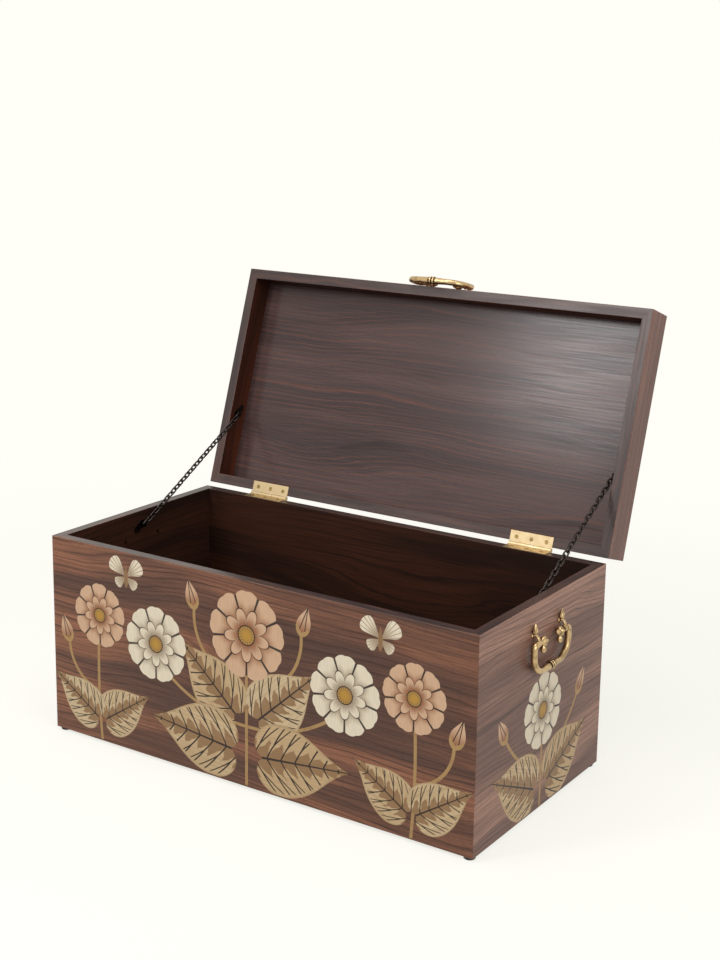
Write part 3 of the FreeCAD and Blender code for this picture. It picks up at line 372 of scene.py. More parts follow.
# Slack of a face's place, and how squarely a rim faces up or down.
FACE_SLACK, SQUARELY = 0.0005, 0.9
# The slots of a board's finishes.
OUTSIDE, INSIDE, RIM = 0, 1, 2


def finish_of(centre, normal, lid):
    """Which finish a board shows at a point: that of the outside, of the inside or of the rim."""
    spot = PIN + SHUT @ (centre - PIN) if lid else centre
    within = (abs(spot.x) < HALF_LENGTH - WALL + FACE_SLACK
              and abs(spot.y) < HALF_WIDTH - WALL + FACE_SLACK)
    if within and (spot.z < FRONT_HIGH.z + LID_HOLLOW if lid else spot.z > FOOT + FACE_SLACK):
        return INSIDE
    if lid:
        return RIM if (SHUT @ normal).z < -SQUARELY else OUTSIDE
    return RIM if normal.z > SQUARELY and spot.z > FRONT_HIGH.z - FACE_SLACK else OUTSIDE


class TRUNK_OT_boards(bpy.types.Operator):
    """Gives the boards of the box and the lid their rosewood, each with its own figure"""

    bl_idname = "trunk.boards"
    bl_label = "Rosewood boards"

    def execute(self, context):
        for name, board in BOARDS.items():
            lid = name.startswith("lid")
            outside = board["tones"]
            finishes = [("waxed", outside, "growth", WAXED, WAXED_CONTRAST[outside])]
            if name == "lid_top_panel":
                finishes.append(("polished", "panel", "panel_growth", POLISHED, INSIDE_CONTRAST))
            else:
                inside = "rail" if lid else "inside"
                finishes.append(("stained", inside, "streak", STAINED, INSIDE_CONTRAST))
            rim = "lid_rim" if lid else "rim"
            finishes.append(("rim", rim, "panel_growth", RUBBED, RIM_CONTRAST))
            mesh = NODES[name].data
            mesh.materials.clear()
            for finish, tones, growth, (roughness, shine), contrast in finishes:
                mesh.materials.append(rosewood(
                    f"{finish}_rosewood_{name}", (f"{tones}_light", f"{tones}_dark", growth),
                    board, lid, roughness, shine, contrast))
            for face in mesh.polygons:
                face.material_index = finish_of(face.center, face.normal, lid)
        return {"FINISHED"}


# Marquetry. Sizes are in metres.
LEAF_LENGTH, BLOSSOM_RADIUS, BUD_LENGTH, WING_LENGTH = 0.2, 0.072, 0.056, 0.046
LEAF_SCALES = {"large": 1.0, "middle": 0.88, "small": 0.68}
# Middle of a leaf and of a bud, as shares of its length.
LEAF_MIDDLE, BUD_MIDDLE = 0.42, 0.47
PETALS = 9
# Half the width of a leaf along its length, as shares of its length.
LEAF_MARGIN = ((0.0, 0.145), (0.1, 0.284), (0.32, 0.33), (0.58, 0.244), (0.8, 0.092), (1.0, 0.0))
# Step between the shades of neighbouring motifs.
SHADE_STEP = 0.382
# Corners of a CAD node's loose triangles that lie closer than this are one.
WELD_GAP = 0.000002
# Headings in degrees.
UPWARDS, HALF_TURN = 90, 180
# Right half of each design, its places as shares of a face: across from its middle to its end, up
# its height. A blossom's scale or a heading in degrees follows, and a leaf's size stands first.
FRONT_DESIGN = {
    "cream": ((0.45, 0.58, 0.96),),
    "blush": ((0.0, 0.74, 1.1), (0.745, 0.65, 0.83)),
    "butterfly": ((0.6, 0.88),),
    "bud": ((0.25, 0.8, 74), (0.91, 0.47, 72)),
    "leaf": (("large", 0.045, 0.165, 6), ("middle", 0.04, 0.33, 42),
             ("small", 0.75, 0.11, 33), ("small", 0.735, 0.11, 147)),
}
END_DESIGN = {
    "cream": ((0.0, 0.47, 0.92),),
    "blush": (),
    "butterfly": (),
    "bud": ((0.56, 0.43, 60),),
    "leaf": (("middle", 0.06, 0.1, 24),),
}
# Each face: which way is across it, half its length and its design.
FACES = {
    "front": (Vector((1, 0, 0)), HALF_LENGTH, FRONT_DESIGN),
    "right_end": (Vector((0, 1, 0)), HALF_WIDTH, END_DESIGN),
    "left_end": (Vector((0, -1, 0)), HALF_WIDTH, END_DESIGN),
}


class Motif:
    """One motif of a face: its kind, where it starts, which way it points and its size."""

    def __init__(self, kind, across, up, turn, length, middle):
        self.kind = kind
        self.start = Vector((across, up))
        self.along = Vector((math.cos(turn), math.sin(turn)))
        self.length = length
        self.middle = self.start + self.along * length * middle

    def local(self, spot):
        """A point of the face as shares of the motif's length, along it and across it."""
        off = spot - self.start
        return (off.dot(self.along) / self.length,
                (self.along.x * off.y - self.along.y * off.x) / self.length)


def motifs(face):
    """All motifs of a face; one off the middle line has its mirror image."""
    half, design = FACES[face][1:]
    planned = [(kind, across, up, UPWARDS, BLOSSOM_RADIUS * scale, 0)
               for kind in ("cream", "blush") for across, up, scale in design[kind]]
    planned += [("butterfly", across, up, UPWARDS, WING_LENGTH, 0)
                for across, up in design["butterfly"]]
    planned += [("bud", across, up, heading, BUD_LENGTH, BUD_MIDDLE)
                for across, up, heading in design["bud"]]
    planned += [("leaf", across, up, heading, LEAF_LENGTH * LEAF_SCALES[size], LEAF_MIDDLE)
                for size, across, up, heading in design["leaf"]]
    return [Motif(kind, side * across * half, up * HEIGHT,
                  math.radians(heading if side > 0 else HALF_TURN - heading), length, middle)
            for kind, across, up, heading, length, middle in planned
            for side in ((1,) if across == 0 else (1, -1))]


def veneer(name, node, face, finishes):
    """A veneer piece for a CAD node, with each motif's own place and direction as its UV map."""
    along = FACES[face][0]
    choices = [motif for motif in motifs(face) if motif.kind in finishes]
    kinds = list(finishes)
    work = bmesh.new()
    work.from_mesh(NODES[node].data)
    bmesh.ops.remove_doubles(work, verts=work.verts, dist=WELD_GAP)
    uv = work.loops.layers.uv.verify()
    own = work.faces.layers.float.new("own_shade")
    waiting = set(work.faces)
    while waiting:
        island, edge = set(), [next(iter(waiting))]
        while edge:
            current = edge.pop()
            if current in island:
                continue
            island.add(current)
            edge.extend(other for line in current.edges if len(line.link_faces) == 2
                        for other in line.link_faces if other not in island)
        waiting -= island
        area = sum(part.calc_area() for part in island)
        centre = sum((part.calc_center_median() * part.calc_area() for part in island),
                     Vector()) / area
        spot = Vector((along.dot(centre), centre.z - FOOT))
        motif = min(choices, key=lambda choice: (choice.middle - spot).length)
        for part in island:
            part.smooth = False
            part[own] = choices.index(motif) * SHADE_STEP % 1
            part.material_index = kinds.index(motif.kind)
            for loop in part.loops:
                point = loop.vert.co
                loop[uv].uv = motif.local(Vector((along.dot(point), point.z - FOOT)))
    mesh = bpy.data.meshes.new(name)
    work.to_mesh(mesh)
    work.free()
    for kind in kinds:
        mesh.materials.append(finishes[kind])
    stand_in(name, mesh, node, "box")


# A veneer's grain: waves along a motif and across it, and how far its own shade moves them.
GRAIN_ALONG, GRAIN_ACROSS, GRAIN_SHIFT, GRAIN_ROUGHNESS = 2.2, 60.0, 9.0, 0.6
GRAIN_TINT, GRAIN_SHARE = (0.86, 1.08), 0.6
# The wax over the veneers.
WAX_SHINE, WAX_ROUGHNESS = 0.32, (0.5, 0.4)


def motif_tree(name):
    """A veneer's tree: along and across the motif, the motif's own shade, and its fine grain."""
    material, tree = new_material(name)
    put = partial(add, tree)
    axes = put("ShaderNodeSeparateXYZ", put("ShaderNodeTexCoord", out="UV")).node
    along, across = axes.outputs[0], axes.outputs[1]
    own = put("ShaderNodeAttribute", out="Fac", attribute_name="own_shade")
    place = put(PAIR, put(MATH, along, GRAIN_ALONG, operation="MULTIPLY"),
                put(MATH, across, GRAIN_ACROSS, operation="MULTIPLY"),
                put(MATH, own, GRAIN_SHIFT, operation="MULTIPLY"))
    fibre = put(NOISE, {"Vector": place, "Scale": 1.0, "Detail": 2.0, "Roughness": GRAIN_ROUGHNESS})
    return material, put, along, across, own, fibre


def waxed(tree, tone, fibre):
    """Ends a veneer's tree: the grain tints it faintly, and the wax over it is satin."""
    grey = add(tree, MAP, fibre, *MOST, *GRAIN_TINT, **SOFT)
    tone = add(tree, MIX, {SHARE: GRAIN_SHARE, UNDER: tone, OVER: grey},
               blend_type="MULTIPLY", **TONE)
    surface(tree, {"Base Color": tone, "Specular IOR Level": WAX_SHINE,
                   "Roughness": add(tree, MAP, fibre, *MOST, *WAX_ROUGHNESS, **SOFT)})


# Side veins of a leaf, as shares of its length: they start, lean and bow, and fork further out.
RIB_SPACING, RIB_START, RIB_LEAN, RIB_BOW, RIB_EDGE = 0.15, 0.03, 0.55, 1.1, (0.006, 0.011)
FORK_START, FORK_SPREAD = 0.13, 0.24
# Where the fork's arms take over from the rib, and a distance at which a line no longer shows.
FORK_BEGINS, RIB_ENDS, OUT_OF_SIGHT = (0.13, 0.135), (0.15, 0.16), 0.1
# The midrib thins out along the leaf, and the side veins stop short of its margin.
MIDRIB_TAPER, MIDRIB_EDGE, VEIN_STOP = 0.007, (0.009, 0.014), (0.02, 0.04)
# The scorched heart: its waves, how they and the ribs swing its edge, and how it narrows.
SCORCH_WAVES, SCORCH_SWING, SCORCH_LEAST, SCORCH_RIB = 11.0, 0.14, -0.02, 1.5
SCORCH_RUN, SCORCH_TAPER = (0.1, 0.8), (1.15, 0.55)
SCORCH_EDGE, SCORCH_SHARE = (-0.012, 0.006), 0.9
# Light bands, moved by the motif's own shade, and the shaded margin.
BAND_SPAN, BAND_SHIFT, BAND_START = (0.25, 0.8), 0.5, -0.25
MARGIN_EDGE, MARGIN_SHARE = (0.0, 0.03), 0.35


def leaf_veneer():
    """Golden sapwood veneer, scorched in hot sand between the veins: pale margins, brown hearts
    and fine dark forking veins."""
    paint = colours()
    material, put, along, across, own, fibre = motif_tree("golden_leaf_veneer")
    off = put(MATH, across, operation="ABSOLUTE")
    bow = put(MATH, off, RIB_BOW, RIB_LEAN, operation="MULTIPLY_ADD")
    lean = put(MATH, along, put(MATH, off, bow, operation="MULTIPLY"), operation="SUBTRACT")
    cell = put(MATH, put(MATH, lean, RIB_START, operation="ADD"), RIB_SPACING, operation="DIVIDE")
    rib = put(MATH, put(MATH, cell, 0.5, operation="PINGPONG"), RIB_SPACING, operation="MULTIPLY")
    spread = put(MATH, put(MATH, off, FORK_START, operation="SUBTRACT"), FORK_SPREAD,
                 operation="MULTIPLY")
    fork = put(MATH, put(MATH, rib, spread, operation="SUBTRACT"), operation="ABSOLUTE")
    fork = put(MATH, fork, put(MAP, off, *FORK_BEGINS, OUT_OF_SIGHT, 0.0), operation="ADD")
    stalk = put(MATH, rib, put(MAP, off, *RIB_ENDS, 0.0, OUT_OF_SIGHT), operation="ADD")
    rib_line = put(MAP, put(MATH, fork, stalk, operation="MINIMUM"), *RIB_EDGE, 1.0, 0.0, **SOFT)
    margin = put("ShaderNodeFloatCurve", 1.0, along)
    line = margin.node.mapping.curves[0]
    for at, (reach, wide) in enumerate(LEAF_MARGIN):
        if at < 2:
            line.points[at].location = (reach, wide)
        else:
            line.points.new(reach, wide)
    margin.node.mapping.update()
    inner = put(MATH, margin, off, operation="SUBTRACT")
    rib_line = put(MATH, rib_line, put(MAP, inner, *VEIN_STOP, **SOFT), operation="MULTIPLY")
    midrib = put(MATH, along, MIDRIB_TAPER, off, operation="MULTIPLY_ADD")
    midrib = put(MAP, midrib, *MIDRIB_EDGE, 1.0, 0.0, **SOFT)
    vein = put(MATH, rib_line, midrib, operation="MAXIMUM")
    spot = put(PAIR, along, across, own)
    wave = put(NOISE, {"Vector": spot, "Scale": SCORCH_WAVES, "Detail": 1.0})
    reach = put(MATH, wave, SCORCH_SWING, SCORCH_LEAST, operation="MULTIPLY_ADD")
    reach = put(MATH, rib, SCORCH_RIB, reach, operation="MULTIPLY_ADD")
    reach = put(MATH, reach, put(MAP, along, *SCORCH_RUN, *SCORCH_TAPER), operation="MULTIPLY")
    scorch = put(MATH, off, reach, operation="SUBTRACT")
    scorch = put(MAP, scorch, *SCORCH_EDGE, SCORCH_SHARE, 0.0, **SOFT)
    bands = put(MATH, own, BAND_SHIFT, BAND_START, operation="MULTIPLY_ADD")
    bands = put(MAP, put(MATH, fibre, bands, operation="ADD"), *BAND_SPAN, **SOFT)
    tone = put(MIX, {SHARE: bands, UNDER: rgba(paint.leaf), OVER: rgba(paint.leaf_pale)}, **TONE)
    tone = put(MIX, {SHARE: scorch, UNDER: tone, OVER: rgba(paint.leaf_shade)}, **TONE)
    edge = put(MAP, inner, *MARGIN_EDGE, MARGIN_SHARE, 0.0, **SOFT)
    tone = put(MIX, {SHARE: edge, UNDER: tone, OVER: rgba(paint.leaf_shade)}, **TONE)
    tone = put(MIX, {SHARE: vein, UNDER: tone, OVER: rgba(paint.vein)}, **TONE)
    waxed(material.node_tree, tone, fibre)
    return material


# Blossoms, as shares of their radius. A parting is a share of a petal's width.
ROOT_BEND, ROOT_SPAN, OUTER_PARTING = -0.16, (0.38, 0.74), (0.86, 0.95)
# The inner ring of petals: its reach, how far it dips between petals and how sharply.
INNER_REACH, INNER_DIP, INNER_POINT = 0.62, -0.26, 2.2
INNER_SPAN, INNER_PARTING = (0.24, 0.52), (0.84, 0.96)
TIP_SPAN, TIP_SHARE, RING_EDGE = (0.0, 0.22), 0.35, (-0.004, 0.004)
# The golden heart, its beads and the dark line round it.
BEAD_SPAN, BEAD_REACH, HEART_EDGE, HEART_LINE = (0.1, 0.4), (0.08, 0.17), (0.21, 0.225), 0.225
# Where the dark lines round the inner ring and the heart fade, from their middle.
LINE_EDGE = (0.008, 0.02)


def blossom_veneer(name, light, shade):
    """Pale petal veneer, scorched at the petals' roots and parted by dark lines, in two rings
    round a golden heart."""
    paint = colours()
    dark = rgba(paint.vein)
    material, put, along, across, _, fibre = motif_tree(name)
    reach = put(VECTOR, put(PAIR, along, across), out=1, operation="LENGTH")
    turn = put(MATH, put(MATH, across, along, operation="ARCTAN2"), PETALS / (2 * math.pi),
               operation="MULTIPLY")
    outer = put(MATH, put(MATH, turn, 0.5, operation="PINGPONG"), 2.0, operation="MULTIPLY")
    inner = put(MATH, 1.0, outer, operation="SUBTRACT")
    root = put(MATH, outer, ROOT_BEND, reach, operation="MULTIPLY_ADD")
    root = put(MAP, root, *ROOT_SPAN, **SOFT)
    tone = put(MIX, {SHARE: root, UNDER: rgba(shade), OVER: rgba(light)}, **TONE)
    parting = put(MAP, outer, *OUTER_PARTING, **SOFT)
    tone = put(MIX, {SHARE: parting, UNDER: tone, OVER: dark}, **TONE)
    edge = put(MATH, inner, INNER_POINT, operation="POWER")
    edge = put(MATH, edge, INNER_DIP, INNER_REACH, operation="MULTIPLY_ADD")
    ring = put(MATH, edge, reach, operation="SUBTRACT")
    base = put(MAP, reach, *INNER_SPAN, **SOFT)
    petal = put(MIX, {SHARE: base, UNDER: rgba(shade), OVER: rgba(light)}, **TONE)
    parting = put(MAP, inner, *INNER_PARTING, **SOFT)
    petal = put(MIX, {SHARE: parting, UNDER: petal, OVER: dark}, **TONE)
    tip = put(MAP, ring, *TIP_SPAN, TIP_SHARE, 1.0, **SOFT)
    petal = put(MIX, {SHARE: tip, UNDER: rgba(light), OVER: petal}, **TONE)
    within = put(MAP, ring, *RING_EDGE, **SOFT)
    tone = put(MIX, {SHARE: within, UNDER: tone, OVER: petal}, **TONE)
    outline = put(MAP, put(MATH, ring, operation="ABSOLUTE"), *LINE_EDGE, 1.0, 0.0, **SOFT)
    tone = put(MIX, {SHARE: outline, UNDER: tone, OVER: dark}, **TONE)
    beads = put(MATH, put(MATH, turn, 2.0, operation="MULTIPLY"), 0.5, operation="PINGPONG")
    beads = put(MATH, put(MAP, beads, *BEAD_SPAN, **SOFT), put(MAP, reach, *BEAD_REACH, **SOFT),
                operation="MULTIPLY")
    gold = put(MIX, {SHARE: beads, UNDER: rgba(paint.heart), OVER: rgba(paint.leaf_shade)}, **TONE)
    heart = put(MAP, reach, *HEART_EDGE, 1.0, 0.0, **SOFT)
    tone = put(MIX, {SHARE: heart, UNDER: tone, OVER: gold}, **TONE)
    rim = put(MATH, put(MATH, reach, HEART_LINE, operation="SUBTRACT"), operation="ABSOLUTE")
    rim = put(MAP, rim, *LINE_EDGE, 1.0, 0.0, **SOFT)
    tone = put(MIX, {SHARE: rim, UNDER: tone, OVER: dark}, **TONE)
    waxed(material.node_tree, tone, fibre)
    return material


# Buds, as shares of their length: shading, the fold of the outer petals, and the green foot's edge.
BUD_SPAN, BUD_FOLD, FOLD_EDGE = (0.12, 0.75), 0.13, (0.01, 0.022)
CALYX_SLOPE, CALYX_EDGE = -0.9, (0.12, 0.14)


def bud_veneer(name, light, shade):
    """Pale petal veneer of a closed bud: three overlapping petals, scorched at the foot."""
    paint = colours()
    material, put, along, across, _, fibre = motif_tree(name)
    off = put(MATH, across, operation="ABSOLUTE")
    tone = put(MIX, {SHARE: put(MAP, along, *BUD_SPAN, **SOFT), UNDER: rgba(shade),
                     OVER: rgba(light)}, **TONE)
    fold = put(MATH, along, -BUD_FOLD, BUD_FOLD, operation="MULTIPLY_ADD")
    fold = put(MATH, put(MATH, fold, off, operation="SUBTRACT"), operation="ABSOLUTE")
    fold = put(MAP, fold, *FOLD_EDGE, 1.0, 0.0, **SOFT)
    tone = put(MIX, {SHARE: fold, UNDER: tone, OVER: rgba(paint.vein)}, **TONE)
    calyx = put(MATH, off, CALYX_SLOPE, along, operation="MULTIPLY_ADD")
    calyx = put(MAP, calyx, *CALYX_EDGE, 1.0, 0.0, **SOFT)
    tone = put(MIX, {SHARE: calyx, UNDER: tone, OVER: rgba(paint.stem)}, **TONE)
    waxed(material.node_tree, tone, fibre)
    return material


# Butterflies, as shares of their length: shading, the fan of ribs and half the body's width.
WING_SPAN, WING_RIBS, WING_RIB_EDGE, WING_RIB_SHARE = (0.15, 0.8), 5.2, (0.05, 0.12), 0.8
BODY_EDGE = (0.08, 0.1)


def wing_veneer():
    """Cream veneer of the butterflies, with ribs fanning out over the wings and a brown body."""
    paint = colours()
    brown = rgba(paint.leaf_shade)
    material, put, along, across, _, fibre = motif_tree("cream_wing_veneer")
    turn = put(MATH, along, across, operation="ARCTAN2")
    ribs = put(MATH, put(MATH, turn, WING_RIBS, operation="MULTIPLY"), 0.5, operation="PINGPONG")
    ribs = put(MAP, ribs, *WING_RIB_EDGE, WING_RIB_SHARE, 0.0, **SOFT)
    reach = put(VECTOR, put(PAIR, along, across), out=1, operation="LENGTH")
    tone = put(MIX, {SHARE: put(MAP, reach, *WING_SPAN, **SOFT), UNDER: rgba(paint.cream_shade),
                     OVER: rgba(paint.cream)}, **TONE)
    tone = put(MIX, {SHARE: ribs, UNDER: tone, OVER: brown}, **TONE)
    body = put(MAP, put(MATH, across, operation="ABSOLUTE"), *BODY_EDGE, 1.0, 0.0, **SOFT)
    tone = put(MIX, {SHARE: body, UNDER: tone, OVER: brown}, **TONE)
    waxed(material.node_tree, tone, fibre)
    return material


# Stems: spacing of the brown bands in metres, where they show and how far.
STEM_BAND, STEM_SPAN, STEM_SHARE = 0.012, (0.4, 0.75), 0.7


def stem_veneer():
    """Ochre veneer cut in narrow strips: fine grain, faintly banded in brown."""
    paint = colours()
    material, tree = new_material("ochre_stem_veneer")
    put = partial(add, tree)
    place = put("ShaderNodeTexCoord", out="Object")
    fibre = put(NOISE, {"Vector": place, "Scale": 1 / STEM_BAND, "Detail": 3.0})
    brown = put(MAP, fibre, *STEM_SPAN, 0.0, STEM_SHARE, **SOFT)
    tone = put(MIX, {SHARE: brown, UNDER: rgba(paint.stem), OVER: rgba(paint.leaf_shade)}, **TONE)
    waxed(tree, tone, fibre)
    return material


class TRUNK_OT_inlay(bpy.types.Operator):
    """Lays the marquetry's veneers into the front and the ends"""

    bl_idname = "trunk.inlay"
    bl_label = "Marquetry"

    def execute(self, context):
        paint = colours()
        leaf = {"leaf": leaf_veneer()}
        cream = blossom_veneer("cream_petal_veneer", paint.cream, paint.cream_shade)
        blush = blossom_veneer("blush_petal_veneer", paint.blush, paint.blush_shade)
        blush_bud = bud_veneer("blush_bud_veneer", paint.blush, paint.blush_shade)
        veneer("front_leaves", "front_inlay_leaves", "front", leaf)
        veneer("front_cream_blossoms", "front_inlay_cream_blossoms", "front", {"cream": cream})
        veneer("front_blush_blossoms", "front_inlay_blush_blossoms", "front",
               {"blush": blush, "bud": blush_bud})
        veneer("front_butterflies", "front_inlay_butterflies", "front",
               {"butterfly": wing_veneer()})
        for face in ("left_end", "right_end"):
            veneer(f"{face}_leaves", f"{face}_inlay_leaves", face, leaf)
            veneer(f"{face}_blossoms", f"{face}_inlay_blossoms", face,
                   {"cream": cream, "bud": blush_bud})
        dress(["front_inlay_stems", "left_end_inlay_stems", "right_end_inlay_stems"], stem_veneer())
        return {"FINISHED"}


# Metals. A cloud is the spacing of a finish's patches in metres.
ROLLED_CLOUD, ROLLED_SPAN, ROLLED_SHARE, ROLLED_ROUGHNESS = 0.014, (0.35, 0.7), 0.3, (0.36, 0.48)
CAST_CLOUD, CAST_SPAN, CAST_DULLING, CAST_ROUGHNESS = 0.009, (0.36, 0.7), (-0.45, 0.1), (0.32, 0.17)
# Pointiness from a hollow to an open face, and how far the brown of tarnish and painted shade in
# the hollows turns to gold on open and rubbed faces.
HOLLOW_SHADE_SPAN, UNSHADED_AND_RUBBED_SPAN = (0.44, 0.52), (0.0, 0.9)
# The skin of a casting: strength and height of its unevenness.
SKIN_RELIEF, SKIN_HEIGHT = 0.15, 0.0005
# Grains of small fittings: where they lie, how much lighter they are and how they break the sheen.
GRIT_SPAN, GRIT_LIGHTER, GRIT_LEAST, GRIT_SHEEN = (0.35, 0.75), 1.9, 0.004, (-0.08, 0.1)


def polished_brass():
    """Rolled brass sheet, polished: pale yellow, bright, with faint rubbed cloudiness."""
    paint = colours()
    material, tree = new_material("polished_brass")
    put = partial(add, tree)
    place = put("ShaderNodeTexCoord", out="Object")
    cloud = put(NOISE, {"Vector": place, "Scale": 1 / ROLLED_CLOUD, "Detail": 3.0})
    tone = put(MIX, {SHARE: put(MAP, cloud, *ROLLED_SPAN, 0.0, ROLLED_SHARE, **SOFT),
                     UNDER: rgba(paint.hinge_brass), OVER: rgba(paint.handle_brass)}, **TONE)
    surface(tree, {"Base Color": tone, "Metallic": 1.0,
                   "Roughness": put(MAP, cloud, *MOST, *ROLLED_ROUGHNESS, **SOFT)})
    return material


def cast_brass():
    """Cast brass, aged and rubbed: golden on open and rubbed faces, brown in the hollows as tarnish
    and painted shade, uneven sheen.
    """
    paint = colours()
    material, tree = new_material("antique_brass")
    put = partial(add, tree)
    place = put("ShaderNodeTexCoord", out="Object")
    cloud = put(NOISE, {"Vector": place, "Scale": 1 / CAST_CLOUD, "Detail": 4.0})
    # Low pointiness darkens the hollows: tarnish together with painted shade standing in for light
    # that does not reach them.
    hollow_shade = put("ShaderNodeNewGeometry", out="Pointiness")
    unshaded_and_rubbed = put(MATH, put(MAP, hollow_shade, *HOLLOW_SHADE_SPAN, **SOFT),
                 put(MAP, cloud, *CAST_SPAN, *CAST_DULLING, **SOFT), operation="ADD")
    tone = put(MIX, {SHARE: put(MAP, unshaded_and_rubbed, *UNSHADED_AND_RUBBED_SPAN, **SOFT), UNDER: rgba(paint.tarnish_and_shade),
                     OVER: rgba(paint.handle_brass)}, **TONE)
    relief = put("ShaderNodeBump", {
        "Strength": SKIN_RELIEF, "Distance": SKIN_HEIGHT, "Height": cloud})
    surface(tree, {"Base Color": tone, "Metallic": 1.0, "Normal": relief,
                   "Roughness": put(MAP, cloud, *MOST, *CAST_ROUGHNESS, **SOFT)})
    return material


def small_fitting(name, colour, metallic, roughness, grit):
    """Blackened or bright metal of chains and screws, or the glides' moulded plastic: fine-grained
    in two close tones, with a dull broken sheen. The grit is drawn coarse enough to show."""
    material, tree = new_material(name)
    put = partial(add, tree)
    place = put("ShaderNodeTexCoord", out="Object")
    cloud = put(NOISE, {"Vector": place, "Scale": 1 / grit, "Detail": 3.0})
    pale = tuple(min(1.0, share * GRIT_LIGHTER + GRIT_LEAST) for share in colour)
    tone = put(MIX, {SHARE: put(MAP, cloud, *GRIT_SPAN, **SOFT), UNDER: rgba(colour),
                     OVER: rgba(pale)}, **TONE)
    sheen = [roughness + change for change in GRIT_SHEEN]
    surface(tree, {"Base Color": tone, "Metallic": metallic,
                   "Roughness": put(MAP, cloud, *MOST, *sheen, **SOFT)})
    return material


class TRUNK_OT_hinges(bpy.types.Operator):
    """Polishes the butt hinges and their screws"""

    bl_idname = "trunk.hinges"
    bl_label = "Hinges"

    def execute(self, context):
        dress([f"{side}_hinge_{part}" for side in ("left", "right")
               for part in ("box_leaf", "lid_leaf", "pin")], polished_brass())
        dress(["hinge_box_screws", "hinge_lid_screws"], small_fitting(
            "brass_screws", colours().screw_brass, metallic=1.0, roughness=0.4, grit=0.004))
        return {"FINISHED"}


# Turned outlines: shares along the axis and of the half width, and how deeply petals part them.
FLOWER_OUTLINE = ((0.0, 0.0, 0.0), (0.0, 0.4, 0.0), (0.18, 0.42, 0.0), (0.26, 0.58, 0.08),
                  (0.36, 0.82, 0.24), (0.48, 1.0, 0.32), (0.6, 0.98, 0.34), (0.67, 0.78, 0.3),
                  (0.69, 0.56, 0.14), (0.77, 0.58, 0.12), (0.86, 0.5, 0.12), (0.93, 0.36, 0.1),
                  (0.98, 0.18, 0.05), (1.0, 0.0, 0.0))
BUD_OUTLINE = ((0.0, 0.0, 0.0), (0.0, 0.4, 0.0), (0.4, 0.45, 0.0), (0.48, 0.72, 0.12),
               (0.62, 1.0, 0.25), (0.78, 0.94, 0.25), (0.9, 0.66, 0.2), (0.97, 0.32, 0.1),
               (1.0, 0.0, 0.0))
FINIAL_OUTLINE = ((0.0, 0.0, 0.0), (0.0, 0.5, 0.0), (0.1, 0.64, 0.05), (0.17, 0.56, 0.05),
                  (0.24, 0.8, 0.2), (0.38, 1.0, 0.34), (0.52, 0.94, 0.38), (0.66, 0.74, 0.36),
                  (0.8, 0.46, 0.3), (0.92, 0.2, 0.15), (1.0, 0.0, 0.0))
BOSS_OUTLINE = ((0.0, 0.0, 0.0), (0.0, 1.0, 0.12), (0.4, 1.0, 0.16), (0.75, 0.82, 0.16),
                (0.8, 0.6, 0.0), (1.0, 0.5, 0.0), (1.0, 0.0, 0.0))
EYE_OUTLINE = ((0.0, 0.48, 0.0), (0.0, 0.84, 0.0), (0.14, 1.0, 0.0), (0.3, 0.92, 0.0),
               (0.5, 1.0, 0.0), (0.7, 0.92, 0.0), (0.86, 1.0, 0.0), (1.0, 0.84, 0.0),
               (1.0, 0.48, 0.0))
TURN_STEPS = 40
# Petals and lobes round each turned shape, and how round they are.
FLOWER_PETALS, BUD_PETALS, BOSS_PETALS, FINIAL_LOBES = 5, 4, 8, 5
LOBE_POWER = 0.7
# The strap from boss to eye: control points as metres out of the wood and above the pivot.
STRAP_LINE = ((0.0035, 0.016), (0.0065, 0.0125), (0.0135, 0.0115), (0.0112, 0.0035))
STRAP_STATIONS = 12
# Thickness of the strap as a share of its width.
STRAP_THICKNESS = 0.62
# The finial is flat to the wood, lies this share of its thickness off it and twists by this angle.
FINIAL_FLAT, FINIAL_LIFT, FINIAL_TWIST = 0.64, 0.53, 1.9
# Where a bud hangs along its knob.
BUD_PLACE = 0.5
# Mounts from the middle of a handle, and their bosses above the pivot.
MOUNT_SPREAD, MOUNT_RISE = 0.048, 0.012


def turned(work, outline, start, axis, up, length, width, petals=0, twist=0.0, flat=1.0):
    """Adds a turned shape to a mesh; one whose outline is off the axis at both ends is a ring."""
    out = axis.cross(up)
    rings = []
    for share, wide, parting in outline:
        base = start + axis * share * length
        if wide == 0:
            rings.append([work.verts.new(base)])
            continue
        ring = []
        for step in range(TURN_STEPS):
            turn = 2 * math.pi * step / TURN_STEPS
            lobe = abs(math.cos(petals * (turn - twist * share) / 2)) ** LOBE_POWER
            radius = (1 - parting * (1 - lobe)) * wide * width / 2
            ring.append(work.verts.new(
                base + (up * flat * math.cos(turn) + out * math.sin(turn)) * radius))
        rings.append(ring)
    if len(rings[0]) > 1:
        rings.append(rings[0])
    for first, second in zip(rings, rings[1:]):
        for step in range(TURN_STEPS):
            after = (step + 1) % TURN_STEPS
            corners = [first[step % len(first)], first[after % len(first)],
                       second[after % len(second)], second[step % len(second)]]
            work.faces.new([corner for at, corner in enumerate(corners)
                            if corner not in corners[:at]])


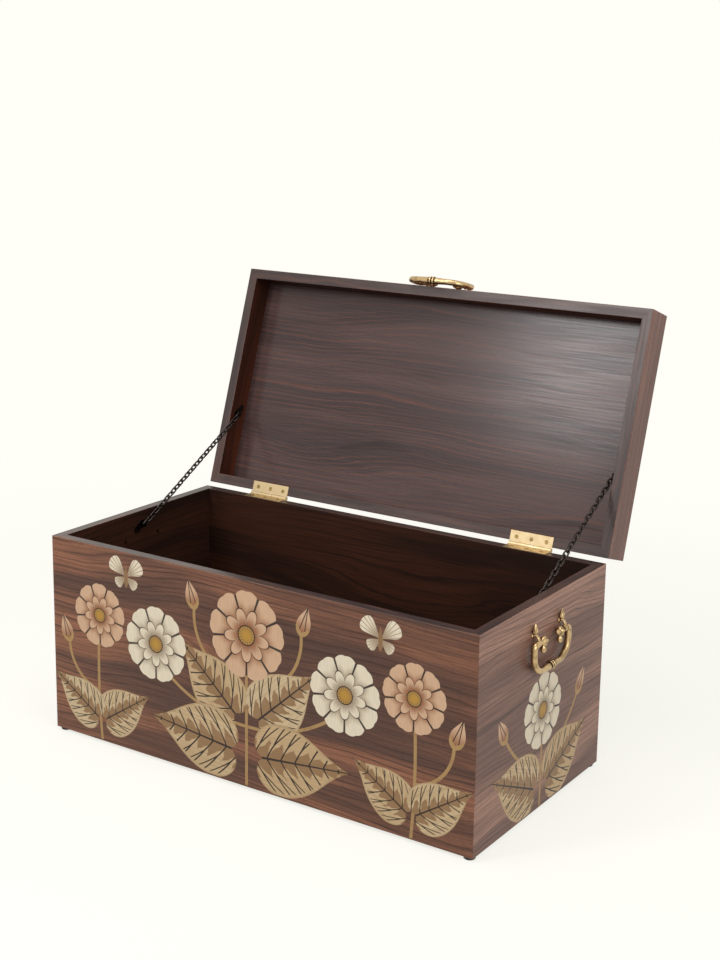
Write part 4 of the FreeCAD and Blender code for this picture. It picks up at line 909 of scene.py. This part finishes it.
def strap(work, origin, spread, out, up, width, thickness):
    """Adds the bent strap of one mount to a mesh, from its boss to its eye."""
    line = [origin + out * away + up * above for away, above in STRAP_LINE]
    rings = []
    for station in range(STRAP_STATIONS):
        t = station / (STRAP_STATIONS - 1)
        spot = sum((point * share for point, share in zip(line, (
            (1 - t) ** 3, 3 * t * (1 - t) ** 2, 3 * t * t * (1 - t), t ** 3))), Vector())
        ahead = sum((point * share for point, share in zip(line, (
            -(1 - t) ** 2, (1 - t) * (1 - 3 * t), t * (2 - 3 * t), t * t))), Vector()).normalized()
        over = spread.cross(ahead)
        rings.append([work.verts.new(
            spot + spread * math.cos(turn) * width / 2 + over * math.sin(turn) * thickness / 2)
            for turn in (2 * math.pi * step / TURN_STEPS for step in range(TURN_STEPS))])
    for first, second in zip(rings, rings[1:]):
        for step in range(TURN_STEPS):
            after = (step + 1) % TURN_STEPS
            work.faces.new((first[step], first[after], second[after], second[step]))
    work.faces.new(rings[0])
    work.faces.new(rings[-1])


def handle_axes(place):
    """A handle's pivot, and its directions along the pivots, out of the wood and up."""
    pivot = Vector(next(joint["pos_m"] for joint in frame["joints"]
                        if joint["name"] == f"{place}_handle_swing"))
    if place == "lid":
        opened = SHUT.inverted()
        return pivot, Vector((1, 0, 0)), opened @ Vector((0, -1, 0)), opened @ Vector((0, 0, 1))
    side = 1 if place == "right_end" else -1
    return pivot, Vector((0, side, 0)), Vector((side, 0, 0)), Vector((0, 0, 1))


def casting(name, work, node, body, brass):
    """Makes a cast brass piece of a mesh, in the place of a CAD node and moving with a body."""
    bmesh.ops.recalc_face_normals(work, faces=work.faces)
    mesh = bpy.data.meshes.new(name)
    work.to_mesh(mesh)
    work.free()
    mesh.shade_smooth()
    mesh.materials.append(brass)
    stand_in(name, mesh, node, body)


def flower_knobs(place, brass):
    """The pair of flower knobs of one handle, each with a bud hanging below it."""
    size = sizes()
    pivot, spread, out, up = handle_axes(place)
    low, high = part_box(f"{place}_handle_knobs")
    half = abs((high - low).dot(spread)) / 2
    work = bmesh.new()
    for side in (1, -1):
        start, axis = pivot + spread * half * side, -spread * side
        turned(work, FLOWER_OUTLINE, start, axis, up, size.knob_length, size.knob_width,
               FLOWER_PETALS)
        turned(work, BUD_OUTLINE, start + axis * size.knob_length * BUD_PLACE, -up, out,
               size.bud_drop, size.bud_width, BUD_PETALS)
    casting(f"{place}_flower_knobs", work, f"{place}_handle_knobs", f"{place}_bail", brass)


def flame_mounts(place, brass):
    """The pair of mounts of one handle: rosette, flame-shaped finial, bent strap and eye."""
    size = sizes()
    pivot, spread, out, up = handle_axes(place)
    standoff = handle_axes("right_end")[0].x - HALF_LENGTH
    work = bmesh.new()
    for side in (1, -1):
        root = pivot + spread * MOUNT_SPREAD * side - out * standoff
        boss = root + up * MOUNT_RISE
        turned(work, BOSS_OUTLINE, boss, out, up, size.boss_height, size.boss_width, BOSS_PETALS)
        foot = boss + out * size.finial_width * FINIAL_FLAT * FINIAL_LIFT
        turned(work, FINIAL_OUTLINE, foot, up, out, size.finial_length, size.finial_width,
               FINIAL_LOBES, FINIAL_TWIST * side, FINIAL_FLAT)
        strap(work, root, spread, out, up, size.strap_width, size.strap_width * STRAP_THICKNESS)
        turned(work, EYE_OUTLINE, root + out * standoff - spread * size.eye_length / 2, spread, up,
               size.eye_length, size.eye_width)
    casting(f"{place}_flame_mounts", work, f"{place}_handle_mounts",
            "lid" if place == "lid" else "box", brass)


class TRUNK_OT_handles(bpy.types.Operator):
    """Finishes the three bail handles, with flower knobs and flame-tipped mounts"""

    bl_idname = "trunk.handles"
    bl_label = "Handles"

    def execute(self, context):
        brass = cast_brass()
        # The screws take the same dark brown as their own bronzed colour.
        bronzed = small_fitting(
            "bronzed_screws", colours().tarnish_and_shade, metallic=1.0, roughness=0.45, grit=0.004)
        for place in ("left_end", "right_end", "lid"):
            dress([f"{place}_handle_bail"], brass)
            dress([f"{place}_handle_screws"], bronzed)
            flower_knobs(place, brass)
            flame_mounts(place, brass)
        return {"FINISHED"}


# Links in each run, and 0 where it starts with a link flat to the wall or 1 where that is turned.
CHAIN_RUNS = {"lower_run": (11, 0), "bottom_turn": (3, 1), "upper_run": (15, 0)}
# Steps round a quarter of a link's bow, and sides of its wire.
BOW_STEPS, WIRE_SIDES = 5, 8


def chain_tree():
    """A Geometry Nodes tree that lays welded links in a row along X, each turned from the last."""
    tree = bpy.data.node_groups.new("welded_chain", "GeometryNodeTree")
    tree.interface.new_socket("Geometry", in_out="OUTPUT", socket_type="NodeSocketGeometry")
    for name, kind in (("Links", "Int"), ("First turned", "Int"), ("Pitch", "Float"),
                       ("Link length", "Float"), ("Bow radius", "Float"), ("Wire radius", "Float"),
                       ("Material", "Material")):
        tree.interface.new_socket(name, in_out="INPUT", socket_type=f"NodeSocket{kind}")
    given = tree.nodes.new("NodeGroupInput").outputs
    put = partial(add, tree)
    last = put(MATH, given["Links"], 1.0, operation="SUBTRACT")
    half = put(MATH, last, -0.5, operation="MULTIPLY")
    start = put(PAIR, put(MATH, half, given["Pitch"], operation="MULTIPLY"))
    row = put("GeometryNodeMeshLine", {"Count": given["Links"], "Start Location": start,
                                       "Offset": put(PAIR, given["Pitch"])}, mode="OFFSET")
    wide = put(MATH, given["Bow radius"], 2.0, operation="MULTIPLY")
    outline = put("GeometryNodeCurvePrimitiveQuadrilateral",
                  {"Width": given["Link length"], "Height": wide})
    bent = put("GeometryNodeFilletCurve", {
        "Curve": outline, "Count": BOW_STEPS, "Radius": given["Bow radius"],
        "Limit Radius": True}, mode="POLY")
    profile = put("GeometryNodeCurvePrimitiveCircle",
                  {"Resolution": WIRE_SIDES, "Radius": given["Wire radius"]})
    link = put("GeometryNodeCurveToMesh", {"Curve": bent, "Profile Curve": profile})
    link = put("GeometryNodeSetShadeSmooth", {"Geometry": link})
    count = put(MATH, put("GeometryNodeInputIndex"), given["First turned"], operation="ADD")
    odd = put(MATH, count, 2.0, operation="MODULO")
    heading = put(PAIR, put(MATH, odd, math.pi / 2, operation="MULTIPLY"))
    links = put("GeometryNodeInstanceOnPoints",
                {"Points": row, "Instance": link, "Rotation": heading})
    solid = put("GeometryNodeRealizeInstances", {"Geometry": links})
    done = put("GeometryNodeSetMaterial", {"Geometry": solid, "Material": given["Material"]})
    put("NodeGroupOutput", {"Geometry": done})
    return tree


def chain_run(tree, side, run, steel):
    """One run of a stay chain, as links in the place of its CAD node."""
    size = sizes()
    node = f"{side}_chain_{run}"
    links, turned_first = CHAIN_RUNS[run]
    folds = {joint["name"]: Vector(joint["pos_m"]) for joint in frame["joints"]}
    along = (folds[f"{side}_chain_upper_run_fold"]
             - folds[f"{side}_chain_lower_run_fold"]).normalized()
    off = Vector((1, 0, 0))
    place = Matrix((along, off.cross(along), off)).transposed().to_4x4()
    hook = size.link_length - size.link_pitch
    reach = (links - 1) * size.link_pitch + size.link_length
    place.translation = folds[f"{node}_fold"] + along * (reach / 2 - hook * (1 - turned_first))
    holder = bpy.data.objects.new(f"{node}_rule", bpy.data.meshes.new(f"{node}_rule"))
    bpy.context.scene.collection.objects.link(holder)
    rule = holder.modifiers.new("links", "NODES")
    rule.node_group = tree
    values = {"Links": links, "First turned": turned_first, "Pitch": size.link_pitch,
              "Link length": size.link_length, "Bow radius": size.link_bow,
              "Wire radius": size.link_wire / 2, "Material": steel}
    for socket in tree.interface.items_tree:
        if socket.in_out == "INPUT":
            rule[socket.identifier] = values[socket.name]
    evaluated = holder.evaluated_get(bpy.context.evaluated_depsgraph_get())
    mesh = bpy.data.meshes.new_from_object(evaluated)
    mesh.transform(place)
    holder.modifiers.remove(rule)
    bpy.data.objects.remove(holder)
    stand_in(f"{node}_links", mesh, node, node)


class TRUNK_OT_chains(bpy.types.Operator):
    """Lays the links of the stay chains and blackens their plates"""

    bl_idname = "trunk.chains"
    bl_label = "Stay chains"

    def execute(self, context):
        steel = small_fitting(
            "blackened_steel", colours().steel, metallic=1.0, roughness=0.3, grit=0.003)
        tree = chain_tree()
        for side in ("left", "right"):
            for run in CHAIN_RUNS:
                chain_run(tree, side, run, steel)
            dress([f"{side}_chain_box_plate", f"{side}_chain_lid_plate"], steel)
        dress(["chain_box_plate_screws", "chain_lid_plate_screws"], steel)
        return {"FINISHED"}


class TRUNK_OT_glides(bpy.types.Operator):
    """Gives the glides under the corners their moulded black"""

    bl_idname = "trunk.glides"
    bl_label = "Glides"

    def execute(self, context):
        paint = colours()
        dress([f"{end}_{side}_foot" for end in ("front", "back") for side in ("left", "right")],
              small_fitting("moulded_glide", paint.glide, metallic=0.0, roughness=0.5, grit=0.002))
        dress(["foot_screws"],
              small_fitting("zinc_screw", paint.screw, metallic=1.0, roughness=0.4, grit=0.003))
        return {"FINISHED"}


# Studio. Lamps: place, aim, width, height and watts.
SOFTBOXES = {
    "tall_softbox": ((-1.05, -2.25, 2.3), (0, 0, 0.3), 0.5, 1.4, 30),
    "right_softbox": ((2.6, -1.2, 1.5), (0.3, 0, 0.3), 1.2, 1.6, 22),
    "overhead_softbox": ((0.0, -0.4, 2.6), (0, 0, 0.3), 1.8, 1.4, 22),
}
# Light that the world gives the trunk, where the eye sees full white.
WORLD_LIGHT = 0.55
# Near the trunk the paper's own glow and its reflected light make up the backdrop's level together.
NEAR_GLOW, NEAR_PAPER = 0.78, 0.22
# From the first distance to the second the paper turns plain, without the trunk's shadow.
PLAIN_SPAN = (0.9, 2.2)
FLOOR_REACH = 12.0
SENSOR_WIDTH_MM = 36.0
WHITE, BLACK = (1, 1, 1, 1), (0, 0, 0, 1)


def softbox(name, place, aim, width, height, watts):
    """One rectangular soft lamp, pointed at a place."""
    data = bpy.data.lights.new(name, "AREA")
    data.shape = "RECTANGLE"
    data.size = width
    data.size_y = height
    data.energy = watts
    lamp = bpy.data.objects.new(name, data)
    lamp.location = place
    lamp.rotation_euler = (Vector(aim) - Vector(place)).to_track_quat("-Z", "Y").to_euler()
    bpy.context.scene.collection.objects.link(lamp)


def seen(tree):
    """1 for what the camera sees directly, in a gloss or through glass, 0 for diffuse light."""
    path = add(tree, "ShaderNodeLightPath").node.outputs
    either = add(tree, MATH, path["Is Camera Ray"], path["Is Glossy Ray"], operation="MAXIMUM")
    return add(tree, MATH, either, path["Is Transmission Ray"], operation="MAXIMUM")


def studio_floor():
    """A wide pale paper floor: white to the eye, with the trunk's faint shadow near it."""
    paint = colours()
    material, tree = new_material("studio_paper")
    put = partial(add, tree)
    far = put(VECTOR, put("ShaderNodeTexCoord", out="Object"), out=1, operation="LENGTH")
    plain = put(MAP, far, *PLAIN_SPAN, **SOFT)
    strength = put(MATH, seen(tree), put(MAP, plain, 0.0, 1.0, NEAR_GLOW, 1.0),
                   operation="MULTIPLY")
    glow = put("ShaderNodeEmission", rgba(paint.backdrop), strength)
    paper = rgba([share * NEAR_PAPER for share in paint.backdrop])
    tone = put(MIX, {SHARE: plain, UNDER: paper, OVER: BLACK}, **TONE)
    matt = put("ShaderNodeBsdfDiffuse", {"Color": tone})
    put("ShaderNodeOutputMaterial", {"Surface": put("ShaderNodeAddShader", glow, matt)})
    mesh = bpy.data.meshes.new("studio_floor")
    corners = ((-1, -1), (1, -1), (1, 1), (-1, 1))
    mesh.from_pydata([(x * FLOOR_REACH, y * FLOOR_REACH, 0) for x, y in corners], [],
                     [(0, 1, 2, 3)])
    mesh.materials.append(material)
    floor = bpy.data.objects.new("studio_floor", mesh)
    bpy.context.scene.collection.objects.link(floor)


def studio_world():
    """A pale world: full white to the eye, a plain level of light on the trunk."""
    world = bpy.data.worlds.new("studio_world")
    world.use_nodes = True
    tree = world.node_tree
    tree.nodes.clear()
    eye = seen(tree)
    strength = add(tree, MAP, eye, 0.0, 1.0, WORLD_LIGHT, 1.0)
    pale = add(tree, MIX, {SHARE: eye, UNDER: WHITE, OVER: rgba(colours().backdrop)}, **TONE)
    light = add(tree, "ShaderNodeBackground", pale, strength)
    add(tree, "ShaderNodeOutputWorld", {"Surface": light})
    bpy.context.scene.world = world


def studio_camera():
    """The camera at the photograph's angle."""
    view = bpy.context.scene.trunk_view
    a, e, r = view.azimuth, view.elevation, view.roll
    right = Vector((math.cos(a), math.sin(a), 0))
    ahead = Vector((-math.sin(a) * math.cos(e), math.cos(a) * math.cos(e), -math.sin(e)))
    up = right.cross(ahead)
    rolled_right = right * math.cos(r) + up * math.sin(r)
    rolled_up = up * math.cos(r) - right * math.sin(r)
    matrix = Matrix((rolled_right, rolled_up, -ahead)).transposed().to_4x4()
    matrix.translation = Vector(view.place)
    data = bpy.data.cameras.new("studio_camera")
    data.lens = view.lens
    data.sensor_width = SENSOR_WIDTH_MM
    data.shift_y = view.shift
    camera = bpy.data.objects.new("studio_camera", data)
    camera.matrix_world = matrix
    bpy.context.scene.collection.objects.link(camera)
    bpy.context.scene.camera = camera


class TRUNK_OT_studio(bpy.types.Operator):
    """Sets up the floor, the lamps and the camera"""

    bl_idname = "trunk.studio"
    bl_label = "Studio"

    def execute(self, context):
        context.scene.view_settings.view_transform = "Standard"
        studio_floor()
        studio_world()
        studio_camera()
        for name, settings in SOFTBOXES.items():
            softbox(name, *settings)
        return {"FINISHED"}


class TRUNK_PT_sidebar(bpy.types.Panel):
    """Lists the steps that finish the trunk"""

    bl_idname = "TRUNK_PT_sidebar"
    bl_label = "Inlaid trunk"
    bl_space_type = "VIEW_3D"
    bl_region_type = "UI"
    bl_category = "Trunk"

    def draw(self, context):
        for step in STEPS:
            self.layout.operator(step.bl_idname)
        for group, _ in GROUPS:
            held = getattr(context.scene, group)
            for name in held.bl_rna.properties.keys():
                if name not in ("rna_type", "name"):
                    self.layout.prop(held, name)


STEPS = (TRUNK_OT_studio, TRUNK_OT_boards, TRUNK_OT_inlay, TRUNK_OT_hinges, TRUNK_OT_handles,
         TRUNK_OT_chains, TRUNK_OT_glides)
GROUPS = (("trunk_colours", TrunkColours), ("trunk_sizes", TrunkSizes), ("trunk_view", TrunkView))


def register():
    """Registers the settings, the steps and the panel."""
    for name, group in GROUPS:
        bpy.utils.register_class(group)
        setattr(bpy.types.Scene, name, bpy.props.PointerProperty(type=group))
    for step in STEPS + (TRUNK_PT_sidebar,):
        bpy.utils.register_class(step)


def unregister():
    """Takes the panel, the steps and the settings out again."""
    for step in reversed(STEPS + (TRUNK_PT_sidebar,)):
        bpy.utils.unregister_class(step)
    for name, group in reversed(GROUPS):
        delattr(bpy.types.Scene, name)
        bpy.utils.unregister_class(group)


def main():
    """Runs all steps."""
    register()
    bpy.ops.trunk.studio()
    bpy.ops.trunk.boards()
    bpy.ops.trunk.inlay()
    bpy.ops.trunk.hinges()
    bpy.ops.trunk.handles()
    bpy.ops.trunk.chains()
    bpy.ops.trunk.glides()


if __name__ == "__main__":
    main()
